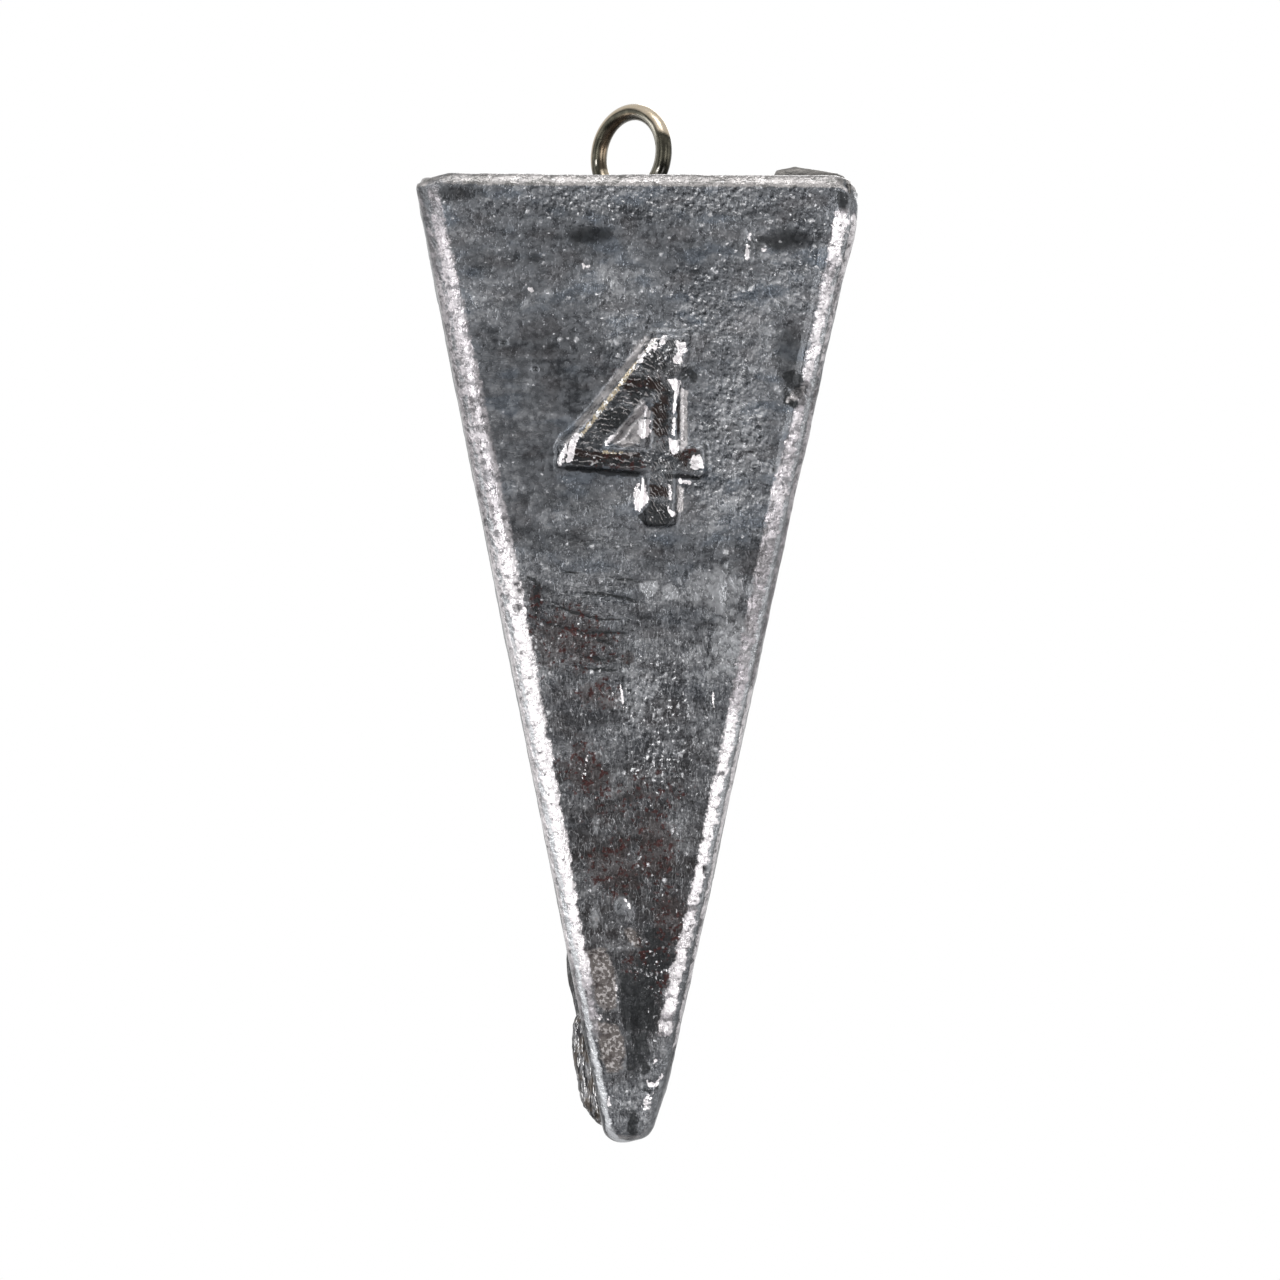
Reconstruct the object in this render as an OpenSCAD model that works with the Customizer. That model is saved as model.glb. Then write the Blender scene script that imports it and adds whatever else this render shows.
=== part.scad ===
// Pyramid sinker: a cast lead weight with a wire eye for the line.
// Millimetres. The origin is the middle of the eye's loop, and +Z points up, away from the tip.
// The numbered side faces -Y. The mould parted through the front right and back left corners,
// and the wire lies in that same plane.

/* [Casting] */
// Width across the flat sides at the top
top_w = 23.3; // [18:0.1:30]
// Width across the flat sides at the tip
tip_w = 2.7; // [2.4:0.1:5]
// Height from the flat top to the tip
body_h = 49.8; // [38:0.2:66]
// Rounding of the four long corners at the top
corner_r = 1.3; // [0.9:0.1:3]
// Rounding of the rim round the flat top
rim_r = 0.6; // [0.2:0.1:0.8]
// Rounding of the blunt tip
tip_r = 1; // [0.7:0.1:1.1]

/* [Weight mark] */
// Width of the raised numeral
mark_w = 7.3; // [5:0.1:9]
// Height of the raised numeral, top to foot
mark_tall = 9.5; // [6:0.1:12]
// How far the numeral stands out of the side
mark_h = 0.5; // [0.3:0.05:0.8]
// How far the numeral's walls lean out at their foot
mark_draft = 0.4; // [0.1:0.05:0.6]
// Distance down the side from the top to the numeral's middle
mark_drop = 13.2; // [9:0.2:17]
// Sideways shift of the numeral from the middle of the side
mark_off = -0.25; // [-1.5:0.05:1.5]

/* [Mould marks] */
// Thickness of the flash line along the two parted corners
seam_t = 0.4; // [0.2:0.05:0.8]
// How far the flash line stands out of the corners
seam_h = 0.15; // [0.05:0.05:0.4]
// Length of the broken gate stub near the tip
gate_l = 6.4; // [4:0.2:9]
// How far the gate stub stands out of its corner
gate_h = 1.25; // [0.6:0.05:2]
// Thickness of the gate stub
gate_t = 1.6; // [0.8:0.1:2.2]
// Length of the flash lip on the flat top
lip_l = 6.2; // [3:0.1:8]
// Height of the flash lip over the flat top
lip_h = 0.95; // [0.4:0.05:1.4]
// Thickness of the flash lip
lip_t = 0.6; // [0.3:0.05:1]

/* [Wire eye] */
// Diameter of the wire
wire_d = 0.9; // [0.6:0.05:1.3]
// Clear hole in the loop, where the line's clip goes
loop_bore = 3.7; // [3:0.1:5.5]
// Height of the loop's middle over the flat top
eye_lift = 3; // [2.6:0.1:4]
// How far the eye sits from the middle of the top, towards the back left corner
eye_shift = 0.5; // [0:0.1:1.5]
// Gap between the two legs in the lead
leg_gap = 0.3; // [0.2:0.05:1]
// Mean radius of the two bends under the loop
neck_bend_r = 0.9; // [0.8:0.05:1.6]
// Straight length of each leg
leg_l = 6; // [4:0.5:10]
// Mean radius of the bend from leg to foot
foot_bend_r = 1.2; // [0.9:0.1:2]
// Straight length of each foot
foot_l = 3; // [1:0.5:4]
// Clearance between the wire and the lead round it
cast_gap = 0.02; // [0.01:0.01:0.05]

/* [Hidden] */
$fn = 48;
hull_fn = 32;
lead_tone = "#74777b";
brass_tone = "#857548";

// Heights of the flat top and of the tip
top_z = -eye_lift;
tip_z = top_z - body_h;

// Lean of the flat sides and of the corners between them
side_slope = (top_w - tip_w) / 2 / body_h;
side_lean = atan(side_slope);
corner_lean = atan(side_slope * sqrt(2));

// Middles of the roundings at the rim and at the tip, out from the axis along each side
rim_in = top_w / 2 - rim_r * (side_slope + 1 / cos(side_lean)) - (corner_r - rim_r);
tip_in = tip_w / 2 + tip_r * side_slope - tip_r / cos(side_lean);
arc_steps = 8;

// Reach of the corners from the axis, level with the middles of those roundings
rim_reach = rim_in * sqrt(2) + corner_r - rim_r + rim_r / cos(corner_lean);
tip_reach = tip_in * sqrt(2) + tip_r / cos(corner_lean);
rim_z = top_z - rim_r;
round_z = tip_z + tip_r;

// Strokes of the numeral as seen from the front: across from its left, up from its foot
slant_share = [[0, 0.33], [0.09, 0.33], [0.82, 0.9], [0.82, 1], [0.64, 1], [0, 0.42]];
bar_share = [[0, 0.31], [1, 0.27], [1, 0.4], [0, 0.4]];
stem_share = [[0.62, 0], [0.79, 0], [0.82, 1], [0.67, 1]];

// Outline of the gate stub: along its corner from the tip, out of the corner
gate_share = [[0, 0], [0.1, 0.42], [0.22, 0.82], [0.38, 1], [0.55, 0.95], [0.78, 0.7], [1, 0.15]];
// The stub is full thickness up to its shoulder and narrows to its crown
gate_shoulder_share = 0.5;
gate_crown_share = 0.4;
// Depth of the stub's foot, inside the corner at any thickness
gate_root = gate_t / 2;

// Outline of the flash lip: in from its corner, up from the flat top
lip_share = [[0.05, 0], [0.15, 0.3], [0.35, 0.6], [0.65, 1], [0.88, 0.95], [1, 0.55]];

// The legs are this much slimmer in radius than the loop, and lap this far into its ends
slim_share = 0.022;
lap_share = 0.11;
leg_slim = slim_share * wire_d;
neck_lap = lap_share * wire_d;

// The wire's middle line: the loop, then the middle of the right-hand neck bend
wire_r = wire_d / 2;
loop_r = loop_bore / 2 + wire_r;
leg_x = leg_gap / 2 + wire_r;
neck_x = leg_x + neck_bend_r;
neck_y = -sqrt(pow(loop_r + neck_bend_r, 2) - pow(neck_x, 2));
neck_turn = atan2(-neck_y, neck_x);

// Puts a flat drawing in the parting plane: x from back left to front right, y up
module parting() rotate([0, 0, -45]) rotate([90, 0, 0]) children();

// Puts the casting's own axis where the eye sees it
module casting_axis() translate([eye_shift * cos(45), -eye_shift * cos(45), 0]) children();

// A disc with a rounded upper rim, for one corner of the flat top
module rim_puck() {
    arc = [for (k = [0 : arc_steps]) k * (90 + side_lean) / arc_steps - side_lean];
    outline = [for (a = arc) [corner_r - rim_r + rim_r * cos(a), rim_r * sin(a)]];
    rotate_extrude($fn = hull_fn) polygon(concat([[0, -rim_r * sin(side_lean)]], outline, [[0, rim_r]]));
}

// The plain pyramid with its rounded corners, rim and tip
module pyramid() hull() for (x = [-1, 1], y = [-1, 1]) {
    translate([x * rim_in, y * rim_in, rim_z]) rim_puck();
    translate([x * tip_in, y * tip_in, round_z]) sphere(tip_r, $fn = hull_fn);
}

// Puts a drawing on the front side: x to the right, y up the side, z out of it
module front_side(drop, across) {
    translate([across, -top_w / 2 + drop * sin(side_lean), top_z - drop * cos(side_lean)])
        rotate([90 + side_lean, 0, 0]) children();
}

// One straight stroke of the numeral, with walls that lean
module stroke(shares) {
    corners = [for (s = shares) [(s.x - 0.5) * mark_w, (s.y - 0.5) * mark_tall]];
    hull() {
        translate([0, 0, -mark_h]) linear_extrude(mark_h)
            offset(mark_draft, $fn = hull_fn) polygon(corners);
        linear_extrude(mark_h) polygon(corners);
    }
}

// The raised numeral 4, the weight in ounces
module weight_mark() front_side(mark_drop, mark_off) {
    stroke(slant_share);
    stroke(bar_share);
    stroke(stem_share);
}

// The thin line of flash where the mould parted
module flash_line() parting() linear_extrude(seam_t, center = true) polygon([
    [-rim_reach - seam_h, rim_z],
    [-tip_reach - seam_h, round_z],
    [tip_reach + seam_h, round_z],
    [rim_reach + seam_h, rim_z]
]);

// One slab of the gate stub, drawn up and out from the lower end of its corner
module gate_slab(thick, height) {
    crown = [for (s = gate_share) [s.x * gate_l, s.y * height]];
    linear_extrude(thick, center = true) polygon(concat([[0, -gate_root]], crown, [[gate_l, -gate_root]]));
}

// What is left of the gate, torn off at the back left corner
module gate_stub() parting() translate([-tip_reach, round_z]) rotate(90 + corner_lean) hull() {
    gate_slab(gate_t, gate_h * gate_shoulder_share);
    gate_slab(gate_t * gate_crown_share, gate_h);
}

// The lip of flash that runs from the front right corner over the flat top
module flash_lip() {
    outer = rim_reach + seam_h;
    crest = [for (s = lip_share) [outer - s.x * lip_l, top_z + s.y * lip_h]];
    parting() linear_extrude(lip_t, center = true)
        polygon(concat([[outer, rim_z]], crest, [[outer - lip_l, rim_z]]));
}

// A round bend of the wire, from one angle through a turn, about the drawing's origin
module bend(mean_r, tube_r, from, turn) {
    rotate(from) rotate_extrude(angle = turn) translate([mean_r, 0]) circle(tube_r);
}

// A straight run of the wire along y, downwards
module run(length, tube_r) rotate([90, 0, 0]) cylinder(length, tube_r, tube_r);

// One leg below the loop: neck bend, straight leg, foot bend and foot.
// Its neck bend starts inside the loop's end, which is a hair thicker.
module leg(tube_r, spare) {
    lap_turn = neck_lap / neck_bend_r * 180 / PI;
    translate([neck_x, neck_y]) bend(neck_bend_r, tube_r, 180, -neck_turn - lap_turn);
    translate([leg_x, neck_y]) run(leg_l, tube_r);
    translate([leg_x + foot_bend_r, neck_y - leg_l]) {
        bend(foot_bend_r, tube_r, 180, 90);
        translate([0, -foot_bend_r]) rotate(90) run(foot_l + spare, tube_r);
    }
}

// The whole wire, or its socket in the lead when the tube is thicker and the feet longer
module bent_wire(tube_r, spare) parting() {
    bend(loop_r, tube_r, -neck_turn, 180 + 2 * neck_turn);
    leg(tube_r - leg_slim, spare);
    mirror([1, 0, 0]) leg(tube_r - leg_slim, spare);
}

module lead_body() color(lead_tone) difference() {
    casting_axis() {
        pyramid();
        weight_mark();
        flash_line();
        gate_stub();
        flash_lip();
    }
    bent_wire(wire_r + cast_gap, cast_gap);
}

module wire_eye() color(brass_tone) bent_wire(wire_r, 0);

lead_body();
wire_eye();
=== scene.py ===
# Pyramid sinker: a cast lead weight with a wire eye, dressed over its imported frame.
# The sizes are in millimetres until a mesh is made, which is in metres.
import itertools
import math

import bpy
import numpy as np
from mathutils import Matrix, Vector


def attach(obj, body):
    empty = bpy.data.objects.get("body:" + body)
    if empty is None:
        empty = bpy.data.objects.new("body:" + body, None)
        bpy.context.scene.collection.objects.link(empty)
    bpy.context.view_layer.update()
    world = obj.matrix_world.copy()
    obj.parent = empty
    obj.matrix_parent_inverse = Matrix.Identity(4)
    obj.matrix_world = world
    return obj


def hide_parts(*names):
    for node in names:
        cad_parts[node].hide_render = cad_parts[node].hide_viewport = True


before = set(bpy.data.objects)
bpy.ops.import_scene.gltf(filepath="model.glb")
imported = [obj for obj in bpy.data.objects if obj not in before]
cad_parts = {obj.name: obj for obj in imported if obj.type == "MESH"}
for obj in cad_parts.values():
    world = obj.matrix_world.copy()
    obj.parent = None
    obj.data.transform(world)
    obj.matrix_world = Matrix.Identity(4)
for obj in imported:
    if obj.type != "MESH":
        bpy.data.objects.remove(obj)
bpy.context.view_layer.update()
print("frame loaded:", ", ".join(sorted(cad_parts)))

metresPerMm = 0.001
tiny = 1e-9                 # keeps a division away from nought

# Sizes of the casting, the same as in its drawing
casting = {
    "topWidth": 23.3,
    "tipWidth": 2.7,
    "bodyHeight": 49.8,
    "topZ": -3.0,
    "cornerRound": 1.3,
    "rimRound": 0.6,
    "tipRound": 1.0,
    "axisShift": 0.5,       # the casting's axis lies this far from the eye's, to the front right
}
sideSlope = (casting["topWidth"] - casting["tipWidth"]) / 2 / casting["bodyHeight"]
sideLean = math.atan(sideSlope)
cornerLean = math.atan(sideSlope * math.sqrt(2))
axisX = casting["axisShift"] * math.cos(math.radians(45))
axisY = -axisX
rimFlat = casting["cornerRound"] - casting["rimRound"]
rimIn = casting["topWidth"] / 2 - casting["rimRound"] * (sideSlope + 1 / math.cos(sideLean)) - rimFlat
tipIn = casting["tipWidth"] / 2 + casting["tipRound"] * (sideSlope - 1 / math.cos(sideLean))
rimZ = casting["topZ"] - casting["rimRound"]
tipZ = casting["topZ"] - casting["bodyHeight"]
roundZ = tipZ + casting["tipRound"]
rimReach = rimIn * math.sqrt(2) + rimFlat + casting["rimRound"] / math.cos(cornerLean)
tipReach = tipIn * math.sqrt(2) + casting["tipRound"] / math.cos(cornerLean)

# Small tools

# Large odd numbers that scatter the seeded draws
scatter = {"cell": (73856093, 19349663, 83492791), "seed": 2654435761, "mix": 1274126177}


def ramp(value, low, high):  # 0 below low, 1 above high, eased between
    share = np.clip((value - low) / (high - low), 0, 1)
    return share * share * (3 - 2 * share)


def together(*parts):  # points from their coordinates
    return np.stack(np.broadcast_arrays(*parts), -1)


def lumps(points, size, seed):  # seeded smooth hills and hollows about one size across, from -1 to 1
    cells = points / size + 31.7 * seed
    whole = np.floor(cells).astype(np.int64)
    part = cells - whole
    ease = part ** 3 * (part * (6 * part - 15) + 10)
    total = np.zeros(cells.shape[:-1])
    for step in itertools.product((0, 1), repeat=3):
        key = ((whole + step) * scatter["cell"]).sum(-1) + seed * scatter["seed"]
        key = (key ^ (key >> 13)) * scatter["mix"]
        draw = ((key ^ (key >> 16)) & 65535) / 32767.5 - 1
        total += draw * np.where(step, ease, 1 - ease).prod(-1)
    return total


def layers(points, size, seed, count=3, keep=0.5):  # lumps of several sizes together
    total = sum(lumps(points, size * 0.5 ** k, seed + k) * keep ** k for k in range(count))
    return total / (1 - keep ** count) * (1 - keep)


def runDistance(x, y, start, end):  # distance to a straight run, and how far along it from 0 to 1
    ex, ey = end[0] - start[0], end[1] - start[1]
    along = np.clip(((x - start[0]) * ex + (y - start[1]) * ey) / (ex * ex + ey * ey), 0, 1)
    return np.hypot(x - start[0] - along * ex, y - start[1] - along * ey), along


def outlineDistance(x, y, corners):  # distance to a closed outline, negative inside
    best = np.full(np.shape(x), np.inf)
    inside = np.zeros(np.shape(x), bool)
    for (ax, ay), (bx, by) in zip(corners, corners[1:] + corners[:1]):
        best = np.minimum(best, runDistance(x, y, (ax, ay), (bx, by))[0])
        level = ax + (y - ay) * (bx - ax) / ((by - ay) or tiny)
        inside ^= ((ay > y) != (by > y)) & (x < level)
    return np.where(inside, -best, best)


def lineDistance(x, y, spots):  # distance to an open line through spots, and how far along it from 0 to 1
    best = np.full(np.shape(x), np.inf)
    share = np.zeros(np.shape(x))
    for k, run in enumerate(zip(spots[:-1], spots[1:])):
        far, along = runDistance(x, y, *run)
        share = np.where(far < best, (k + along) / (len(spots) - 1), share)
        best = np.minimum(best, far)
    return best, share


def placed(name, data):  # a new object in the scene
    thing = bpy.data.objects.new(name, data)
    bpy.context.scene.collection.objects.link(thing)
    return thing


def closedShell(name, points, marks):  # a smooth piece from rings of points, closed at both ends
    rows, columns = points.shape[:2]
    ring = np.arange(columns)
    ahead = (ring + 1) % columns
    faces = []
    for here in range(0, (rows - 1) * columns, columns):
        below = here + columns
        faces += np.stack([here + ring, below + ring, below + ahead, here + ahead], 1).tolist()
    first, last = rows * columns, (rows - 1) * columns
    faces += [(first, k, (k + 1) % columns) for k in range(columns)]
    faces += [(first + 1, last + (k + 1) % columns, last + k) for k in range(columns)]
    flat = points.reshape(-1, 3)
    flat = np.concatenate([flat, [flat[:columns].mean(0), flat[-columns:].mean(0)]])
    mesh = bpy.data.meshes.new(name)
    mesh.from_pydata((flat * metresPerMm).tolist(), [], faces)
    for mark, values in marks.items():
        values = np.append(values.ravel(), [values[0].mean(), values[-1].mean()])
        mesh.attributes.new(mark, "FLOAT", "POINT").data.foreach_set("value", values.astype(np.float32))
    mesh.shade_smooth()
    mesh.update()
    return placed(name, mesh)


class Nodes:  # short words for the nodes of one material, or of the world

    def __init__(self, owner):
        owner.use_nodes = True
        self.owner = owner
        self.tree = owner.node_tree

    def join(self, value, socket):  # a link from a node's output, or else a plain value
        if isinstance(value, bpy.types.NodeSocket):
            self.tree.links.new(value, socket)
        else:
            socket.default_value = value

    def put(self, kind, inputs=None, **settings):  # a node, with its settings and inputs
        made = self.tree.nodes.new("ShaderNode" + kind)
        for name, value in settings.items():
            setattr(made, name, value)
        for name, value in (inputs or {}).items():
            self.join(value, made.inputs[name])
        return made

    def sums(self, operation, first, second=0.5, clamp=False):
        return self.put("Math", {0: first, 1: second}, operation=operation, use_clamp=clamp).outputs[0]

    def plus(self, first, *others):
        for other in others:
            first = self.sums("ADD", first, other)
        return first

    def times(self, first, second):
        return self.sums("MULTIPLY", first, second)

    def less(self, first, second):
        return self.sums("SUBTRACT", first, second)

    def centred(self, value, amount):  # a noise as a swing either way
        return self.times(self.less(value, 0.5), amount)

    def between(self, value, low, high, toLow=0.0, toHigh=1.0):  # smooth step from low to high
        return self.put("MapRange", {"Value": value, "From Min": low, "From Max": high, "To Min": toLow,
                                     "To Max": toHigh}, interpolation_type="SMOOTHSTEP").outputs["Result"]

    def blend(self, share, first, second):  # two colours, by how much of the second
        made = self.put("Mix", data_type="RGBA")
        for number, value in ((0, share), (6, first), (7, second)):
            self.join((*value, 1) if isinstance(value, tuple) else value, made.inputs[number])
        return made.outputs[2]

    def noise(self, where, scale, detail=3.0, rough=0.6):
        return self.put("TexNoise", {"Vector": where, "Scale": scale, "Detail": detail,
                                     "Roughness": rough}).outputs["Fac"]

    def mark(self, name):
        return self.put("Attribute", attribute_name=name).outputs["Fac"]

    def scaled(self, where, scale, turn=0):  # a place stretched, and turned about y by degrees
        rotation = (0, math.radians(turn), 0)
        return self.put("Mapping", {"Vector": where, "Rotation": rotation, "Scale": scale}).outputs[0]

    def inMm(self):
        return self.scaled(self.put("TexCoord").outputs["Object"], (1000, 1000, 1000))

    def moved(self, where, step):
        return self.put("VectorMath", {0: where, 1: step}, operation="ADD").outputs[0]

    def metal(self, shade, rough, height, keen, deep):  # the finished surface
        inputs = self.tree.nodes["Principled BSDF"].inputs
        bump = self.put("Bump", {"Height": height, "Strength": keen, "Distance": deep * metresPerMm})
        inputs["Metallic"].default_value = 1.0
        for name, value in (("Base Color", shade), ("Roughness", rough), ("Normal", bump.outputs[0])):
            self.join(value, inputs[name])
        return self.owner


# Camera, at the photograph's viewing angle

photoCamera = {
    "pictureSize": 1280,
    "distance": 400.0,
    "elevation": -5.92,     # the camera looks up a little
    "roll": 0.40,
    "aimZ": -26.0,
    "aimRight": 0.30,
    "aimUp": -0.15,
    "viewWidth": 68.0,      # what the picture shows across, at the aim
    "sensor": 36.0,
    "nearest": 0.01,        # what the camera can see, in metres
    "farthest": 20,
}
lensLength = photoCamera["sensor"] * photoCamera["distance"] / photoCamera["viewWidth"]
lookUp = math.radians(photoCamera["elevation"])
roll = math.radians(photoCamera["roll"])
cameraBack = Vector((0, -math.cos(lookUp), math.sin(lookUp)))
plainRight = Vector((1, 0, 0))
plainUp = cameraBack.cross(plainRight)
cameraRight = plainRight * math.cos(roll) + plainUp * math.sin(roll)
cameraUp = plainUp * math.cos(roll) - plainRight * math.sin(roll)
aim = Vector((axisX, axisY, photoCamera["aimZ"]))
aim += cameraRight * photoCamera["aimRight"] + cameraUp * photoCamera["aimUp"]
cameraPlace = aim + cameraBack * photoCamera["distance"]

lens = bpy.data.cameras.new("photoLens")
lens.lens = lensLength
lens.sensor_width = photoCamera["sensor"]
lens.clip_start = photoCamera["nearest"]
lens.clip_end = photoCamera["farthest"]
camera = placed("photoCamera", lens)
turn = Matrix((cameraRight, cameraUp, cameraBack)).transposed().to_4x4()
camera.matrix_world = Matrix.Translation(cameraPlace * metresPerMm) @ turn
bpy.context.scene.camera = camera

frontNormal = Vector((0, -math.cos(sideLean), -math.sin(sideLean)))
frontEdge = Vector((axisX, axisY - casting["topWidth"] / 2, casting["topZ"]))
middlePixel = (640, 600)


def onFront(pixelX, pixelY):  # a pixel of the photograph, as across and down on the numbered side
    size = photoCamera["pictureSize"]
    sideways = (pixelX - size / 2) / size * photoCamera["sensor"]
    upwards = (size / 2 - pixelY) / size * photoCamera["sensor"]
    ray = cameraRight * sideways + cameraUp * upwards - cameraBack * lensLength
    reach = (frontEdge - cameraPlace).dot(frontNormal) / ray.dot(frontNormal)
    found = cameraPlace + ray * reach
    return found.x - axisX, (casting["topZ"] - found.z) / math.cos(sideLean)


def onSide(spots):
    return [onFront(*spot) for spot in spots]


mmPerPixel = onFront(middlePixel[0] + 1, middlePixel[1])[0] - onFront(*middlePixel)[0]
print("camera placed")

# Stage: plain pale floor, pale background, soft lamps

stage = {
    "floorZ": -190.0,
    "floorReach": 1500.0,
    "floorPale": (0.86, 0.86, 0.87),
    "floorRough": 0.9,
    "skyForLight": 0.5,
    "skyToSee": 1.0,
    "lampAim": (axisX, axisY, -24.0),
}
corners = [(x * stage["floorReach"], y * stage["floorReach"], stage["floorZ"])
           for x, y in ((-1, -1), (1, -1), (1, 1), (-1, 1))]
floorMesh = bpy.data.meshes.new("floor")
floorMesh.from_pydata((np.array(corners) * metresPerMm).tolist(), [], [(0, 1, 2, 3)])
floor = placed("floor", floorMesh)
floorFinish = bpy.data.materials.new("paleFloor")
floorFinish.use_nodes = True
floorShader = floorFinish.node_tree.nodes["Principled BSDF"]
floorShader.inputs["Base Color"].default_value = (*stage["floorPale"], 1)
floorShader.inputs["Roughness"].default_value = stage["floorRough"]
floorMesh.materials.append(floorFinish)

world = bpy.data.worlds.new("paleRoom")
bpy.context.scene.world = world
sky = Nodes(world)
sky.tree.nodes.clear()
rays = sky.put("LightPath").outputs
seen = sky.plus(rays["Is Camera Ray"], rays["Is Glossy Ray"])
seen = sky.sums("ADD", seen, rays["Is Transmission Ray"], clamp=True)
skies = {0: seen}
for number, strength in ((1, stage["skyForLight"]), (2, stage["skyToSee"])):
    skies[number] = sky.put("Background", {"Color": (1, 1, 1, 1), "Strength": strength}).outputs[0]
sky.put("OutputWorld", {"Surface": sky.put("MixShader", skies).outputs[0]})

# name: azimuth from the front, elevation, distance, width, height, brightness
lamps = {
    "leftStrip": (-33, -6, 330, 95, 300, 5.0),
    "rightStrip": (33, -6, 330, 95, 300, 5.0),
    "leftRim": (-80, 0, 330, 150, 260, 2.6),
    "rightRim": (80, 0, 330, 150, 260, 2.2),
    "topLamp": (0, 62, 360, 200, 160, 4.0),
    "backLamp": (165, 30, 420, 200, 260, 3.0),
}
for name, (azimuth, elevation, distance, width, height, bright) in lamps.items():
    light = bpy.data.lights.new(name, "AREA")
    light.shape = "RECTANGLE"
    light.size = width * metresPerMm
    light.size_y = height * metresPerMm
    light.energy = bright * math.pi * light.size * light.size_y
    lamp = placed(name, light)
    swing, lift = math.radians(azimuth), math.radians(elevation)
    outward = Vector((math.sin(swing) * math.cos(lift), -math.cos(swing) * math.cos(lift), math.sin(lift)))
    lamp.location = (Vector(stage["lampAim"]) + outward * distance) * metresPerMm
    lamp.rotation_mode = "QUATERNION"
    lamp.rotation_quaternion = outward.to_track_quat("Z", "Y")
    lamp.visible_camera = False

bpy.context.scene.view_settings.view_transform = "Standard"
print("stage set")

# Wire eye: one bent wire, from foot to foot through the loop

eyeSizes = {
    "wireRound": 0.9,
    "loopBore": 3.7,
    "legGap": 0.3,
    "neckBend": 0.9,
    "legRun": 6.0,
    "footBend": 1.2,
    "footRun": 3.0,
    "endRound": 0.12,
    "endTaper": 0.25,
    "endLeast": 0.02,
    "stepAlong": 0.09,
    "stepsRound": 40,
    "shy": 0.008,           # the wire stays this much inside its drawn size, for its dents
    "dent": 0.005,
    "dentLumps": (0.9, 11),
    "dentReach": 0.5,
    "twist": 4.0,           # degrees that the loop is turned towards the front, about its own axis
}
# Painted highlights and a brown tint on the wire, by degrees round the loop: how far across the wire each
# goes, from its outer edge at -1 to its inner edge at 1
wireLightAndTint = {
    "sharp": 0.1,
    "slant": 7,             # degrees that the start leans across the wire
    "creamTo": ([20, 45, 60, 90, 120, 150, 200], [0.35, 0.25, 0.15, -0.34, -0.62, -0.8, -0.88]),
    "brownFrom": ([55, 90, 140, 200], [0.7, 0.24, 0.0, -0.05]),
    "paleFrom": ([10, 35, 80, 110], [0.74, 0.5, 0.5, 0.78]),
    "loop": (20, 25, 180, 205),     # degrees where the bright part starts and ends, each from and to
    "tan": (198, 201, 236, 244),    # a second bright part, by the neck
    "tanShare": 0.6,
    "brownSoft": (-0.1, 0.3),
    "brownFades": 0.7,
    "brownUp": (50, 80),
    "brownDown": (160, 185),
    "paleSoft": (0, 0.16),
    "paleShare": 0.85,
    "paleFades": 0.35,
    "paleDown": (90, 140),
    # small painted highlights: how far across, degrees round, degrees for one width of the wire, size,
    # softness
    "ticks": [(0.24, -27, 50, 0.13, 0.08), (-0.43, -25, 50, 0.09, 0.06), (-0.4, 187, 60, 0.09, 0.06)],
    "frontPart": -0.55,
}


def eyePath():  # the wire's middle line in the parting plane, from foot to foot over the loop
    wireR = eyeSizes["wireRound"] / 2
    loopR = eyeSizes["loopBore"] / 2 + wireR
    neckR, footR = eyeSizes["neckBend"], eyeSizes["footBend"]
    legX = eyeSizes["legGap"] / 2 + wireR
    neckX = legX + neckR
    neckY = -math.sqrt((loopR + neckR) ** 2 - neckX ** 2)
    neckTurn = math.atan2(-neckY, neckX)
    footY = neckY - eyeSizes["legRun"]
    half = []

    def arc(cx, cy, radius, start, end):
        count = max(4, round(abs(end - start) * radius / eyeSizes["stepAlong"]))
        for angle in start + (end - start) * np.arange(count) / count:
            half.append((cx + radius * math.cos(angle), cy + radius * math.sin(angle)))

    def run(ax, ay, bx, by):
        count = max(4, round(math.hypot(bx - ax, by - ay) / eyeSizes["stepAlong"]))
        half.extend((ax + (bx - ax) * k / count, ay + (by - ay) * k / count) for k in range(count))

    arc(0, 0, loopR, math.pi / 2, -neckTurn)
    arc(neckX, neckY, neckR, math.pi - neckTurn, math.pi)
    run(legX, neckY, legX, footY)
    arc(legX + footR, footY, footR, math.pi, 1.5 * math.pi)
    footEnd = legX + footR + eyeSizes["footRun"]
    run(legX + footR, footY - footR, footEnd, footY - footR)
    half.append((footEnd, footY - footR))
    left = [(-x, y) for x, y in half[:0:-1]]
    return np.array(left + half)


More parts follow.
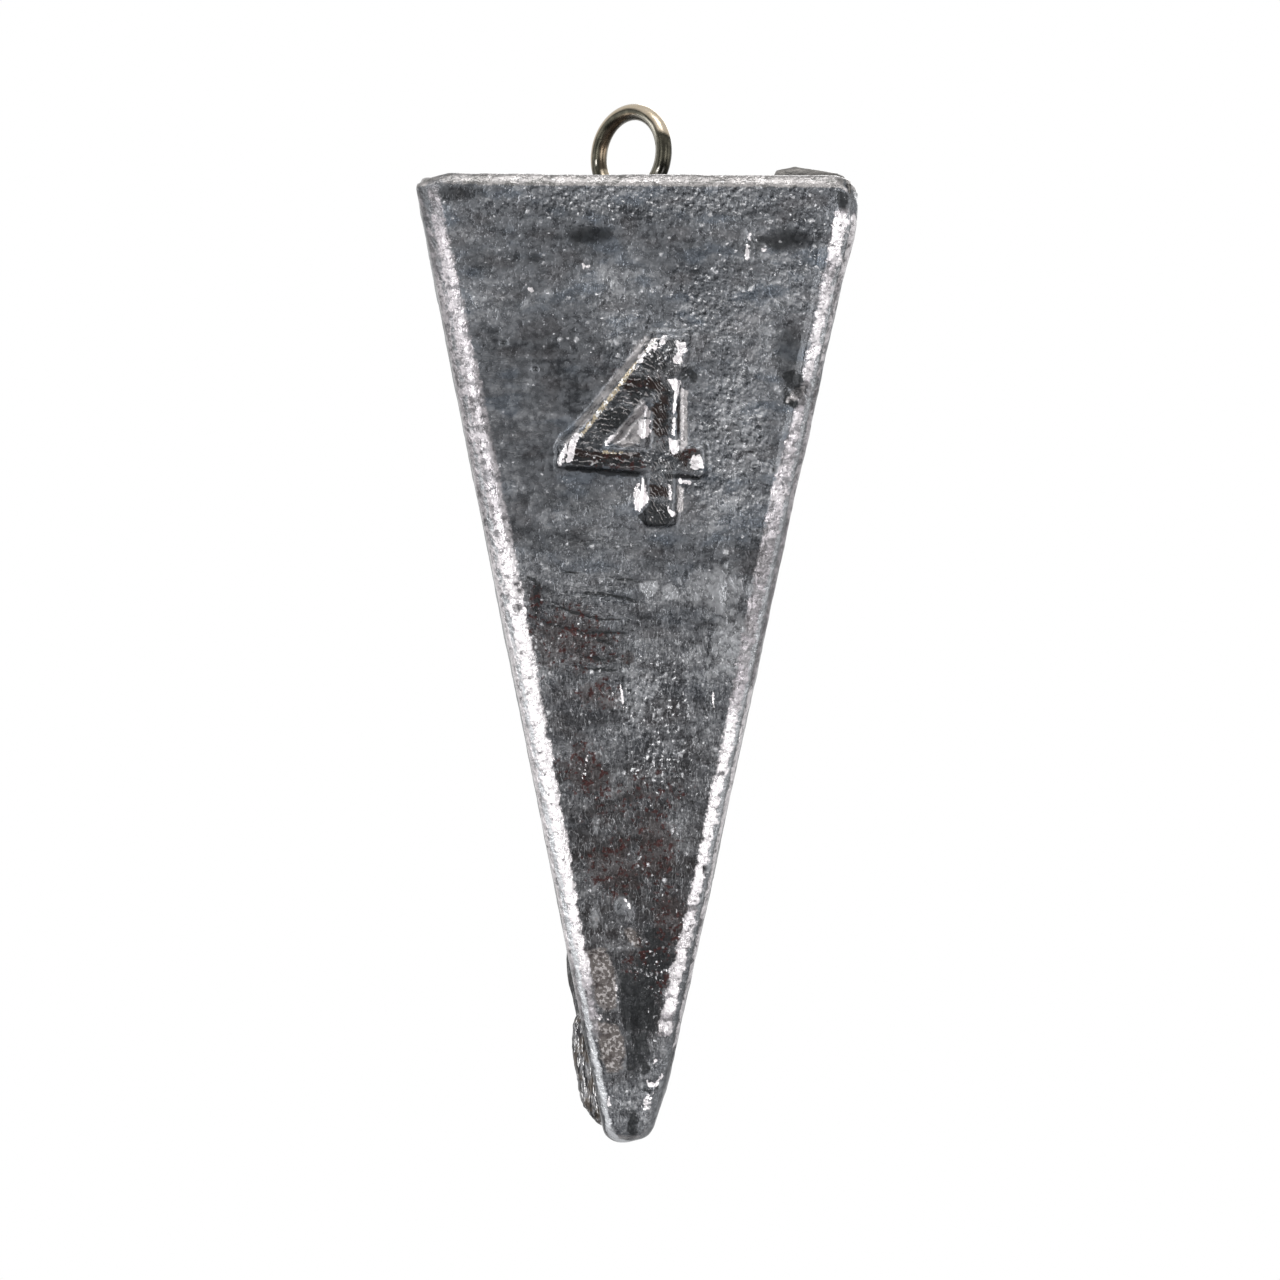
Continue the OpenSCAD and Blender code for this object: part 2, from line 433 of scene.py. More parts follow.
def wireLightAndTintMarks(path, angle, c, s):  # painted highlights in bright and pale bands, and brown bands, along the wire
    loopAngle = (np.degrees(np.arctan2(path[:, 1], path[:, 0]))[:, None] + 90) % 360 - 90 + 0 * angle
    turned = angle + math.pi            # round the wire, from outward towards the front
    width = -np.cos(turned + np.arctan(s / c * np.cos(np.radians(loopAngle))))
    front = np.cos(turned - math.pi / 2) > wireLightAndTint["frontPart"]

    def past(edge):  # how far inside an edge that moves round the loop
        return width - np.interp(loopAngle, *wireLightAndTint[edge])

    start, full, fades, end = wireLightAndTint["loop"]
    sharp = wireLightAndTint["sharp"]
    onLoop = ramp(loopAngle - wireLightAndTint["slant"] * width, start, full) * (1 - ramp(loopAngle, fades, end))
    cream = ramp(-past("creamTo"), -sharp, sharp) * onLoop
    start, full, fades, end = wireLightAndTint["tan"]
    tan = ramp(loopAngle, start, full) * (1 - ramp(loopAngle, fades, end)) * ramp(width, -sharp, sharp)
    cream = np.maximum(cream, tan * wireLightAndTint["tanShare"])
    brown = ramp(past("brownFrom"), *wireLightAndTint["brownSoft"]) * ramp(loopAngle, *wireLightAndTint["brownUp"])
    brown = brown * (1 - wireLightAndTint["brownFades"] * ramp(loopAngle, *wireLightAndTint["brownDown"]))
    pale = wireLightAndTint["paleShare"] - wireLightAndTint["paleFades"] * ramp(loopAngle, *wireLightAndTint["paleDown"])
    pale = ramp(past("paleFrom"), *wireLightAndTint["paleSoft"]) * pale
    ticks = sum(ramp(size - np.hypot(width - inwards, (loopAngle - at) / long), 0, soft)
                for inwards, at, long, size, soft in wireLightAndTint["ticks"])
    return {"cream": cream * front, "brown": brown, "pale": pale * front, "tick": ticks * front}


def makeEye():
    path = eyePath()
    ahead = np.gradient(path, axis=0)
    ahead /= np.linalg.norm(ahead, axis=1)[:, None]
    acrossPath = together(ahead[:, 1], -ahead[:, 0])
    along = np.concatenate([[0], np.cumsum(np.linalg.norm(np.diff(path, axis=0), axis=1))])
    angle = np.arange(eyeSizes["stepsRound"]) / eyeSizes["stepsRound"] * 2 * math.pi
    fromEnd = np.clip(np.minimum(along, along[-1] - along) / eyeSizes["endRound"], 0, 1)
    shrink = np.sqrt(np.clip(1 - (1 - fromEnd) ** 2, eyeSizes["endLeast"], 1))
    shrink = shrink * eyeSizes["endTaper"] + (1 - eyeSizes["endTaper"])
    reach = eyeSizes["dentReach"]
    onWire = together(along[:, None], np.cos(angle) * reach, np.sin(angle) * reach)
    dents = layers(onWire, *eyeSizes["dentLumps"]) * eyeSizes["dent"]
    tubeR = (eyeSizes["wireRound"] / 2 - eyeSizes["shy"]) * shrink[:, None] + dents
    outOf = tubeR * np.sin(angle)
    flat = path[:, None] + (tubeR * np.cos(angle))[..., None] * acrossPath[:, None]
    turned = math.radians(45 - eyeSizes["twist"])
    c, s = math.cos(turned), math.sin(turned)
    points = together(flat[..., 0] * c + outOf * s, -flat[..., 0] * s + outOf * c, flat[..., 1])
    return closedShell("eyeWire", points, wireLightAndTintMarks(path, angle, c, s))


eyeWire = makeEye()
print("wire eye made:", len(eyeWire.data.polygons), "faces")

# Lead casting: one closed grid, with its relief pushed out of the plain pyramid

leadGrid = {
    "frontColumns": [(-1, -0.62, 22), (-0.62, 0.56, 102), (0.56, 1, 22)],   # from, to, how many
    "sideColumns": [(-1, 1, 30)],
    "seamCornerColumns": 14,
    "plainCornerColumns": 8,
    "topRings": 24,
    "topCrowding": 1.4,     # the rings of the top stand closer towards its middle
    "topLeast": 0.02,
    "rimRows": 7,
    "sideRows": [(0, 7.6, 34), (7.6, 18.8, 96), (18.8, 27, 68), (27, 44, 70), (44, 50.85, 42)],
    "tipRows": 9,
    "tipRings": 4,
    "tipCloses": 0.9,       # how far in these rings go
    "tipPoint": 0.02,
    "raisedRows": 3,        # so many rows of the rim rise with the top
    "nearCorner": -0.7,     # the right side counts as near its front corner up to here
    "frontTurn": 40,        # degrees round the front corners that still count as front
    "topInset": 5,          # counts as far in from every edge
}


def spread(zones):  # places from the first zone's start up to the last one's end
    found = []
    for start, end, count in zones:
        found += [start + (end - start) * k / count for k in range(count)]
    return found + [zones[-1][1]]


def castingGrid():  # what every column and every row of the plain pyramid is
    columns = []            # place on the inner square, way outward, side or corner, degrees round a corner
    rows = []               # half width of the inner square, round of its corners, height
    squareCorners = [(-1, -1), (1, -1), (1, 1), (-1, 1)]
    outward = [(0, -1), (1, 0), (0, 1), (-1, 0)]
    for number, start in enumerate(squareCorners):
        end = squareCorners[(number + 1) % 4]
        for share in spread(leadGrid["sideColumns" if number else "frontColumns"]):
            place = [start[k] + (end[k] - start[k]) * (share + 1) / 2 for k in (0, 1)]
            columns.append((*place, *outward[number], number, 0.0))
        count = leadGrid["plainCornerColumns" if number % 2 else "seamCornerColumns"]
        for k in range(1, count + 1):
            turned = math.radians(90 * number - 90 + 90 * k / (count + 1))
            columns.append((*end, math.cos(turned), math.sin(turned), 10 + number, 90 * k / (count + 1)))

    rimR, tipR = casting["rimRound"], casting["tipRound"]
    least = leadGrid["topLeast"]
    for k in range(leadGrid["topRings"]):
        share = least + (1 - least) * (k / leadGrid["topRings"]) ** leadGrid["topCrowding"]
        rows.append((rimIn * share, rimFlat * share, casting["topZ"]))
    for k in range(leadGrid["rimRows"]):
        a = math.pi / 2 - (math.pi / 2 + sideLean) * k / leadGrid["rimRows"]
        rows.append((rimIn, rimFlat + rimR * math.cos(a), rimZ + rimR * math.sin(a)))
    upper = (rimIn, rimFlat + rimR * math.cos(sideLean), rimZ - rimR * math.sin(sideLean))
    lower = (tipIn, tipR * math.cos(sideLean), roundZ - tipR * math.sin(sideLean))
    drops = spread(leadGrid["sideRows"])
    rows += [tuple(u + (v - u) * drop / drops[-1] for u, v in zip(upper, lower)) for drop in drops[:-1]]
    for k in range(leadGrid["tipRows"]):
        a = -sideLean - (math.pi / 2 - sideLean) * k / leadGrid["tipRows"]
        rows.append((tipIn, tipR * math.cos(a), roundZ + tipR * math.sin(a)))
    for k in range(leadGrid["tipRings"]):
        share = 1 - leadGrid["tipCloses"] * k / leadGrid["tipRings"]
        rows.append((tipIn * share, leadGrid["tipPoint"] * share, tipZ))
    return np.array(columns), np.array(rows)


# What stands out of the numbered side or sinks into it, by its pixels in the photograph. Lumps are given by
# their size, seed and layers, and what sets in gently by where it starts and where it is full.
numeral = {
    "height": 0.5,
    "strokes": [            # width of the sloping wall, then the corners
        (0.56, [(564, 462), (590, 462), (640, 404), (682, 368), (686, 338), (657, 338), (620, 384),
                (565, 447)]),
        (0.42, [(561, 464), (702, 472), (702, 449), (561, 449)]),
        (0.42, [(648, 522), (672, 522), (676, 338), (655, 338)]),
    ],
    "wobble": 0.24,
    "wobbleLumps": (0.9, 21),
    "wall": (-1, 0.12),     # from a wall's foot to the crest, in shares of the wall's width
    "crest": (-0.1, 0.3),
    "archFrom": (640, 400),     # right of this pixel the wrinkles bend down, over the counter
    "arch": 0.8,
    "archReach": 3,
    "lean": 0.12,
    "wrinkleStep": 0.42,
    "wrinkle": 0.05,
    "stray": 5.0,
    "strayLumps": (0.9, 23),
    "sunk": 0.05,           # the wrinkled crest lies this much lower, and this much wavier
    "waves": 0.09,
    "waveLumps": (0.8, 24, 2),
}
folds = {                   # cold shuts: fine creases where the lead froze in laps
    "depth": 0.1,
    "half": 0.145,
    "stray": 0.05,
    "strayLumps": ((0.6, 31), (0.5, 32)),
    "taper": 1.15,
    "lines": [
        [(560, 571), (579, 574)],
        [(609, 577), (626, 580), (641, 582)],
        [(570, 593), (598, 594), (626, 598), (640, 605)],
        [(550, 605), (573, 612), (584, 616), (604, 620), (622, 620)],
        [(527, 577), (537, 582)],
        [(538, 620), (556, 626), (584, 632), (612, 633), (641, 631)],
        [(578, 657), (598, 658), (607, 659)],
        [(567, 664), (590, 669), (621, 672)],
        [(596, 640), (612, 644)],
    ],
}
otherFolds = {              # on the sides that the photograph doesn't show
    "seed": 12,
    "perSide": 9,
    "half": 0.14,
    "drops": (3, 40),
    "margin": 2,
    "leans": (-0.12, 0.2),
    "lengths": (0.8, 3.6),
    "stray": 0.08,
    "shares": (0, 0.33, 0.67, 1),
}
blister = {
    "at": (622, 906),
    "round": 0.52,
    "soft": 0.2,
    "height": 0.13,
    "litLean": 0.5,         # its painted highlight along the bright edge, on the right
    "litFrom": (0.22, 0.4),
    "litOn": (0.1, 0.5),
    "lit": 0.6,
}
chip = {"line": [(643, 1083), (655, 1086), (665, 1078)], "half": 0.2, "depth": 0.16}
pits = {                    # small deep pits, most of them in the corner strips, by pixel and radius
    "depth": 0.16,
    "mouth": 1.2,
    "slope": 0.7,
    "stray": 0.07,
    "strayLumps": (0.2, 43),
    "spots": [
        (517, 585, 0.16), (519, 592, 0.2), (517, 600, 0.14), (518, 608, 0.24), (714, 885, 0.2),
        (706, 870, 0.16), (572, 700, 0.1), (585, 995, 0.14), (797, 392, 0.34), (792, 402, 0.2),
        (774, 470, 0.14), (528, 723, 0.12), (503, 343, 0.12), (536, 369, 0.12),
    ],
}
dents = {                   # smooth shallow hollows, by pixel, half across, half down and depth
    "reach": 1.15,
    "soft": 0.6,
    "stray": 0.25,
    "strayLumps": (0.8, 41),
    "spots": [
        (770, 240, 1.1, 0.5, 0.08), (586, 240, 1.0, 0.42, 0.07), (846, 205, 0.5, 0.6, 0.06),
        (600, 500, 1.6, 0.9, 0.05), (745, 590, 1.5, 1.1, 0.06), (560, 760, 0.7, 1.4, 0.06),
        (636, 1010, 0.5, 2.6, 0.07),
    ],
}
flare = {                   # flash pressed flat along the front right corner: its height by pixels down
    "steps": [(186, 0.0), (200, 0.16), (216, 0.34), (236, 0.34), (275, 0.2), (400, 0.17), (500, 0.1),
              (620, 0.04), (760, 0.0)],
    "reach": 1.5,
    "soft": 0.8,
}
tipWear = {"depth": 0.34, "across": (-0.6, 1.7), "up": 3.6}     # the tip is worn rounder on its right
topWear = {                 # the top's front corners are worn too
    "front": (9.2, 11.2),
    "left": 0.5,
    "leftReach": 1.8,
    "leftDown": (0.2, 0.5),
    "right": 0.34,
    "rightReach": 1.3,
    "rightDown": (0.7, 1.4),
}
skin = {                    # lumps of the skin: size, seed, layers, height
    "broad": (4.5, 1, 3, 0.05),
    "middle": (1.3, 4, 2, 0.035),
    "fine": (0.5, 7, 2, 0.022),
    "streaks": (0.45, 9, 2, 0.026),
    "streaksFrom": (14, 26),
    "streakShape": (1, 1, 0.3),
    "calm": 0.75,           # how far smooth stains take these down
    "shy": 0.02,            # all of it stays this much inside the drawing
    "topRaised": 0.07,
    "topHollows": 0.05,
    "hollowLumps": (3.0, 15),
}
seam = {                    # the flash line down two corners
    "half": 0.2,
    "height": 0.15,
    "from": (0.9, 1.6),
    "to": (48.6, 49.6),
    "share": 0.62,          # it is broken: its usual height, the swing, the least
    "swing": 0.6,
    "swingLumps": (1.7, 51),
    "least": 0.15,
    "apart": 7.0,           # keeps the draws of the two corners apart
}
topSeam = {                 # the same line over the flat top, and the lead that crept up the wire's legs
    "half": 0.3,
    "height": 0.06,
    "least": 0.3,
    "legAt": 0.6,           # from the loop's axis along the seam
    "wire": 0.45,
    "collar": 0.9,
    "collarHeight": 0.09,
}
rimShine = {                # painted reflection on the bright rim of the top, less so at its front corners
    "band": (-0.22, 0.12),
    "clearRight": (10.5, 11.0),
    "clearLeft": (6.5, 10.5),
    "leftShare": 0.45,
}
boxRoom = {                 # how far the skin may stand out and still be inside the drawing's box
    "from": 0.7,
    "to": (48.8, 49.8),
    "share": 0.9,
    "topBand": 0.25,
    "top": 0.1,
}
farAway = 9.0               # stands for a distance from something that isn't near

# Painted reflection along each rounded corner: where its bright band shines, how pale the painted reflection
# on the strip outside it is, and the band's limits in from the edge, each by pixels down the picture
cornerShine = {
    "left": {
        "glow": [(176, 0.0), (200, 0.2), (222, 0.36), (245, 0.56), (300, 0.56), (335, 0.55),
                 (420, 0.56), (520, 0.58), (565, 0.8), (640, 0.92), (930, 1.0), (970, 0.7), (1000, 0.4),
                 (1020, 0.3), (1040, 0.0)],
        "pale": [(176, 0.14), (200, 0.24), (300, 0.32), (450, 0.36), (540, 0.5), (650, 0.55),
                 (720, 0.8), (800, 0.95), (1130, 0.9)],
        "bandLow": [(176, 0.47)],
        "bandHigh": [(176, 1.1), (260, 1.2), (360, 1.32), (520, 1.36), (620, 1.3), (740, 1.2),
                     (860, 1.05), (930, 0.9), (980, 0.95), (1040, 0.8)],
    },
    "right": {
        "glow": [(207, 0.0), (213, 0.9), (250, 0.85), (264, 0.5), (290, 0.6), (310, 0.75), (375, 0.66),
                 (384, 0.1), (404, 0.15), (412, 0.6), (460, 0.5), (500, 0.6), (545, 0.4), (600, 0.26),
                 (690, 0.4), (725, 0.85), (895, 0.95), (904, 0.8), (908, 0.1), (913, 0.75), (960, 0.8),
                 (1012, 0.85), (1017, 0.3), (1023, 0.8), (1032, 0.8), (1037, 0.0)],
        "pale": [(176, 0.1), (230, 0.3), (290, 0.42), (360, 0.42), (420, 0.36), (620, 0.38),
                 (800, 0.42), (900, 0.24), (960, 0.1), (1060, 0.16), (1130, 0.3)],
        "bandLow": [(176, 0.49)],
        "bandHigh": [(250, 0.95), (320, 0.84), (380, 0.86), (440, 0.98), (480, 1.16), (620, 1.16),
                     (730, 1.0), (860, 0.95), (940, 1.0), (1000, 1.16), (1040, 1.1)],
    },
}
# How dark the metal is, by pixels down
gloom = [(176, 0.1), (215, 0.1), (300, 0.05), (540, 0.14), (600, 0.5), (700, 0.55), (790, 0.8),
         (860, 1.0), (960, 0.9), (1050, 0.7), (1090, 0.4), (1140, 0.45)]

# Each kind of stain and of painted light and shade, and how much of it the sides have that the photograph
# doesn't show
stainKinds = {"paintedHighlight": 0, "sootAndShade": 0.5, "rust": 0.6, "chalk": 0.6, "clay": 0.4, "gold": 0, "glint": 0.75,
              "smooth": 0.75, "umber": 0, "paintedSheen": 0, "shade": 0.4, "laps": 0.6}

# Stains and painted light and shade on the numbered side: pixel, half width and half height in pixels, slant
# in degrees, strength
stains = {
    "paintedHighlight": [
        (747, 249, 1.0, 14, 4, 0.95), (750, 236, 1.8, 4, 35, 0.9), (762, 250, 11, 1.2, 14, 0.6),
        (531, 289, 2.2, 8, -28, 0.55), (585, 267, 5, 1.6, 0, 0.7), (622, 696, 1.4, 12, -8, 0.8),
        (713, 700, 1.3, 8, -10, 0.75), (585, 768, 1.1, 14, 12, 0.6), (604, 1018, 8, 2.6, -4, 0.55),
        (617, 995, 1.4, 18, -6, 0.4), (655, 1062, 4, 1.6, -40, 0.7), (648, 1101, 8, 16, 10, 0.42),
        (606, 1103, 9, 14, 0, 0.38),
    ],
    "gold": [(612, 452, 18, 2.0, 2, 0.7)],
    "shade": [
        (780, 241, 36, 12, -6, 0.8), (590, 236, 27, 11, -8, 0.85), (482, 262, 16, 15, 0, 0.5),
        (590, 300, 80, 9, 0, 0.2), (640, 212, 150, 9, 0, 0.3), (520, 262, 40, 8, 0, 0.3),
        (575, 500, 60, 14, 4, 0.35), (560, 540, 70, 16, 3, 0.4), (560, 345, 70, 10, 4, 0.25),
    ],
    "laps": [(592, 622, 66, 62, 6, 1.0), (600, 540, 60, 16, 4, 0.6), (500, 430, 44, 120, 0, 0.5)],
    "sootAndShade": [
        (537, 600, 4, 19, 0, 0.85), (548, 660, 9, 30, -8, 0.35), (610, 650, 50, 34, 0, 0.3),
        (641, 1006, 17, 62, -3, 0.7), (655, 955, 22, 40, -5, 0.8), (633, 1125, 7, 20, 0, 0.8),
    ],
    "rust": [
        (536, 600, 7, 18, 0, 0.9), (570, 640, 50, 40, 0, 0.75), (628, 658, 8, 9, 0, 0.9),
        (600, 695, 26, 18, 0, 0.8), (585, 770, 26, 36, -10, 0.8), (642, 800, 60, 30, -10, 0.4),
        (612, 866, 32, 34, 0, 0.9), (655, 850, 28, 40, 0, 0.8), (668, 920, 20, 36, 0, 0.9),
        (640, 960, 20, 24, 0, 0.6), (662, 975, 14, 20, 0, 0.6), (612, 462, 46, 8, 5, 0.9),
        (662, 436, 8, 10, 0, 0.5), (640, 380, 30, 26, 30, 0.2), (692, 452, 12, 10, 0, 0.8),
    ],
    "clay": [(634, 938, 6, 15, -38, 1.0), (600, 915, 8, 16, -10, 0.35)],
    "chalk": [
        (648, 590, 12, 8, -10, 0.75), (740, 430, 36, 70, 0, 0.4), (668, 594, 8, 7, 0, 0.7),
        (697, 582, 12, 6, 20, 0.55), (718, 592, 34, 34, 0, 0.68), (732, 645, 26, 34, 10, 0.6),
        (640, 700, 34, 26, 0, 0.45), (613, 790, 30, 9, -15, 0.42), (597, 826, 6, 13, 0, 0.45),
        (595, 885, 6, 12, 0, 0.4), (648, 1112, 12, 18, 0, 0.4), (596, 915, 9, 22, -8, 0.5),
    ],
    "glint": [
        (670, 200, 200, 26, 0, 0.9), (800, 250, 50, 90, 0, 0.65), (712, 310, 50, 76, 0, 0.9),
        (735, 430, 46, 110, 0, 0.9), (655, 700, 44, 50, 0, 0.85), (660, 765, 34, 30, 0, 1.15),
        (700, 760, 30, 60, 0, 0.3), (600, 330, 60, 50, 0, 0.5), (664, 345, 26, 18, 0, 1.0),
        (663, 458, 20, 14, 0, 0.9), (712, 480, 26, 50, 0, 0.9), (560, 620, 50, 50, 0, 0.35),
        (625, 940, 20, 12, 0, 0.8), (652, 968, 20, 32, 0, 0.75), (640, 860, 46, 60, 0, 0.1),
    ],
    "smooth": [
        (520, 420, 80, 150, 12, 0.7), (620, 250, 200, 26, 0, 0.3), (632, 1044, 13, 34, 0, 0.8),
        (791, 352, 16, 24, 0, 0.9), (722, 590, 40, 34, 0, 0.4), (628, 428, 14, 16, 0, 1.0),
        (846, 206, 12, 16, 0, 1.0), (780, 241, 30, 10, 0, 1.0), (590, 236, 24, 9, 0, 1.0),
        (597, 398, 6, 82, 44, 0.9),
    ],
}

# Patches with a drawn outline: strength, softness in millimetres, corners in pixels
patches = {
    "paintedHighlight": [             # painted highlights on the numeral's edges, and on the lit edge of the chip
        (1.0, 0.05, [(576, 432), (581, 436), (576, 444), (575, 452), (571, 461), (565, 463), (568, 450),
                     (570, 440)]),
        (1.0, 0.04, [(566, 444), (567, 451), (564, 461), (560, 467), (557, 464), (560, 452)]),
        (0.56, 0.14, [(632, 366), (642, 350), (655, 336), (668, 333), (664, 345), (648, 356),
                      (637, 370)]),
        (0.95, 0.06, [(676, 340), (686, 341), (687, 350), (681, 355), (683, 362), (673, 364),
                      (672, 358), (678, 352)]),
        (0.85, 0.05, [(668, 379), (683, 379), (679, 388), (677, 400), (675, 418), (675, 434),
                      (672, 434), (673, 416), (674, 392)]),
        (0.85, 0.05, [(668, 437), (679, 439), (678, 450), (674, 454), (669, 449)]),
        (0.9, 0.07, [(604, 441), (611, 435), (619, 432), (613, 440), (606, 447)]),
        (1.0, 0.05, [(638, 422), (643, 419), (650, 420), (650, 432), (644, 440), (638, 436)]),
        (0.95, 0.06, [(645, 403), (650, 411), (649, 418), (643, 417)]),
        (0.85, 0.05, [(691, 457), (701, 452), (703, 466), (696, 471), (689, 467)]),
        (0.9, 0.05, [(677, 479), (691, 480), (690, 484), (681, 484)]),
        (0.85, 0.05, [(634, 488), (639, 482), (640, 495), (645, 503), (640, 513), (634, 509)]),
        (0.85, 0.05, [(642, 475), (646, 484), (649, 498), (645, 507), (640, 499), (641, 487)]),
        (0.9, 0.05, [(668, 484), (671, 484), (672, 499), (669, 499)]),
        (0.9, 0.05, [(667, 505), (676, 514), (673, 518), (668, 511)]),
        (1.0, 0.03, [(643, 1077), (650, 1083), (657, 1082), (664, 1073), (667, 1074), (659, 1085),
                     (650, 1088)]),
    ],
    "gold": [
        (1.0, 0.08, [(578, 435), (592, 417), (610, 393), (627, 371), (641, 352), (655, 336), (660, 338),
                     (645, 355), (631, 374), (614, 396), (596, 420), (582, 438)]),
    ],
    "paintedSheen": [              # painted highlights on the numeral's walls, a pit's lip, the top right corner, the tip's edge
        (0.8, 0.4, [(562, 446), (580, 420), (604, 390), (628, 357), (645, 336), (651, 340), (636, 360),
                    (612, 390), (590, 418), (572, 440)]),
        (1.0, 0.14, [(681, 388), (688, 391), (687, 444), (681, 451), (680, 430)]),
        (0.62, 0.1, [(606, 440), (617, 430), (633, 411), (640, 398), (647, 400), (645, 418), (640, 444),
                     (622, 448)]),
        (1.0, 0.12, [(677, 484), (684, 489), (683, 511), (677, 513)]),
        (0.9, 0.06, [(785, 402), (790, 392), (799, 386), (806, 383), (803, 393), (796, 400),
                     (789, 404)]),
        (0.75, 0.06, [(838, 182), (848, 187), (856, 198), (858, 216), (854, 214), (853, 200),
                      (846, 190), (837, 187)]),
        (0.5, 0.1, [(610, 1134), (640, 1136), (650, 1129), (651, 1133), (640, 1141), (616, 1140)]),
    ],
    "umber": [
        (0.7, 0.12, [(618, 380), (640, 376), (660, 380), (670, 392), (662, 392), (640, 386),
                     (622, 390)]),
        (0.6, 0.15, [(649, 400), (668, 391), (671, 407), (670, 437), (659, 437), (651, 430),
                     (652, 411)]),
        (1.0, 0.04, [(679, 394), (680, 407), (680, 432), (677, 434), (677, 410)]),
        (1.0, 0.08, [(574, 447), (600, 452), (640, 452), (641, 457), (604, 458), (572, 455)]),
        (0.8, 0.12, [(668, 452), (690, 450), (690, 458), (686, 466), (674, 458)]),
        (1.0, 0.08, [(649, 484), (668, 486), (668, 497), (650, 496)]),
    ],
    "sootAndShade": [               # painted shade in the hollows of the numeral, then the dark of the corners and of the tip
        (1.0, 0.12, [(643, 356), (652, 351), (664, 357), (667, 367), (652, 370), (641, 366)]),
        (0.8, 0.45, [(682, 366), (694, 366), (698, 374), (693, 382), (684, 380)]),
        (1.0, 0.15, [(618, 382), (626, 375), (655, 376), (670, 388), (672, 398), (650, 392),
                     (632, 396)]),
        (1.0, 0.12, [(596, 424), (606, 410), (624, 405), (632, 412), (620, 426), (604, 434)]),
        (1.0, 0.1, [(651, 404), (666, 396), (669, 410), (668, 434), (660, 435), (653, 428),
                    (654, 412)]),
        (0.8, 0.12, [(630, 398), (640, 386), (652, 387), (654, 398), (644, 396), (634, 408)]),
        (0.75, 0.15, [(572, 452), (606, 455), (642, 458), (641, 466), (600, 466), (568, 463)]),
        (1.0, 0.16, [(562, 464), (600, 467), (640, 472), (641, 478), (610, 475), (566, 470)]),
        (1.0, 0.06, [(664, 473), (682, 474), (701, 476), (699, 480), (680, 478), (664, 477)]),
        (1.0, 0.1, [(638, 516), (652, 500), (666, 506), (676, 518), (666, 526), (645, 526)]),
        (0.9, 0.06, [(643, 1087), (652, 1090), (664, 1084), (662, 1090), (650, 1094), (643, 1091)]),
        (0.7, 0.08, [(782, 372), (798, 370), (808, 380), (806, 400), (796, 410), (783, 404)]),
        (0.9, 0.06, [(836, 189), (846, 190), (853, 200), (853, 211), (843, 211), (836, 204)]),
        (0.85, 0.6, [(618, 972), (660, 968), (658, 1020), (650, 1034), (632, 1030), (619, 1012),
                     (618, 985)]),
        (0.62, 0.14, [(618, 1012), (650, 1034), (651, 1072), (634, 1080), (626, 1070), (626, 1040)]),
    ],
    "shade": [
        (0.42, 0.15, [(776, 328), (806, 330), (800, 372), (790, 382), (775, 374), (770, 350)]),
        (0.6, 0.2, [(417, 187), (440, 186), (484, 188), (484, 197), (450, 202), (424, 198)]),
    ],
    "chalk": [
        (0.95, 0.07, [(639, 584), (648, 581), (657, 581), (658, 589), (652, 597), (645, 595),
                      (641, 590)]),
        (0.85, 0.09, [(661, 596), (663, 587), (670, 583), (676, 586), (680, 592), (678, 598),
                      (668, 599)]),
    ],
    "clay": [
        (0.85, 0.3, [(586, 951), (604, 947), (616, 969), (616, 1006), (607, 1013), (597, 1006),
                     (591, 976)]),
        (0.85, 0.3, [(596, 1021), (616, 1024), (624, 1038), (626, 1058), (619, 1073), (606, 1073),
                     (598, 1045)]),
    ],
}

stainEdges = {              # how far the edges of stains stray, and over what lumps
    "broad": (0.5, 0.6, 81, 3),
    "small": (0.4, 0.28, 84, 2),
    "drawn": (0.06, 0.3, 86, 2),
    "smallUnder": 6,        # pixels
    "reach": 1.25,
    "softBroad": 0.9,
    "softSmall": 0.6,
    "elsewhere": 6.5,       # on the other sides: the size of the lumps, the first seed, where a stain sets in
    "elsewhereSeed": 85,
    "elsewhereFrom": (0.12, 0.6),
}
shineElsewhere = {          # how the painted bright bands vary on the other sides
    "stray": (3.5, 2.2, 95, 2),
    "least": 0.55,
    "swing": 0.5,
    "swingLumps": (5.0, 91),
    "apart": 9.0,
}


def strayed(where, much, *lumpSizes):  # a seeded swing either way
    return much * layers(where, *lumpSizes)


def stainAndLightMarks(across, drop, front, wander, points):
    found = {}
    for number, (kind, sparing) in enumerate(stainKinds.items()):
        soft = layers(points, stainEdges["elsewhere"], stainEdges["elsewhereSeed"] + 4 * number)
        found[kind] = ramp(soft, *stainEdges["elsewhereFrom"]) * sparing * (1 - front)
    broad, small, drawn = [strayed(wander, *stainEdges[name]) for name in ("broad", "small", "drawn")]
    for kind, spots in stains.items():
        for pixelX, pixelY, halfWide, halfTall, slant, strength in spots:
            px, py = onFront(pixelX, pixelY)
            c, s = math.cos(math.radians(slant)), math.sin(math.radians(slant))
            sideways = (across - px) * c + (drop - py) * s
            upright = (drop - py) * c - (across - px) * s
            far = np.hypot(sideways / (halfWide * mmPerPixel), upright / (halfTall * mmPerPixel))
            isSmall = min(halfWide, halfTall) < stainEdges["smallUnder"]
            soft = stainEdges["softSmall" if isSmall else "softBroad"]
            patch = ramp(stainEdges["reach"] - far - (small if isSmall else broad), 0, soft)
            found[kind] = np.maximum(found[kind], patch * strength * front)
    for kind, shapes in patches.items():
        for strength, soft, corners in shapes:
            outline = onSide(corners)
            (left, high), (right, low) = np.min(outline, 0) - soft * 2, np.max(outline, 0) + soft * 2
            near = (across > left) & (across < right) & (drop > high) & (drop < low)
            outside = outlineDistance(across[near], drop[near], outline) + drawn[near]
            patch = ramp(-outside, -soft, soft) * strength * front[near]
            found[kind][near] = np.maximum(found[kind][near], patch)
    return found


def heightProfile(steps, drop):  # a value given by heights in the photograph, at every drop
    heights = [onFront(middlePixel[0], pixelY)[1] for pixelY, _ in steps]
    return np.interp(drop, heights, [value for _, value in steps])


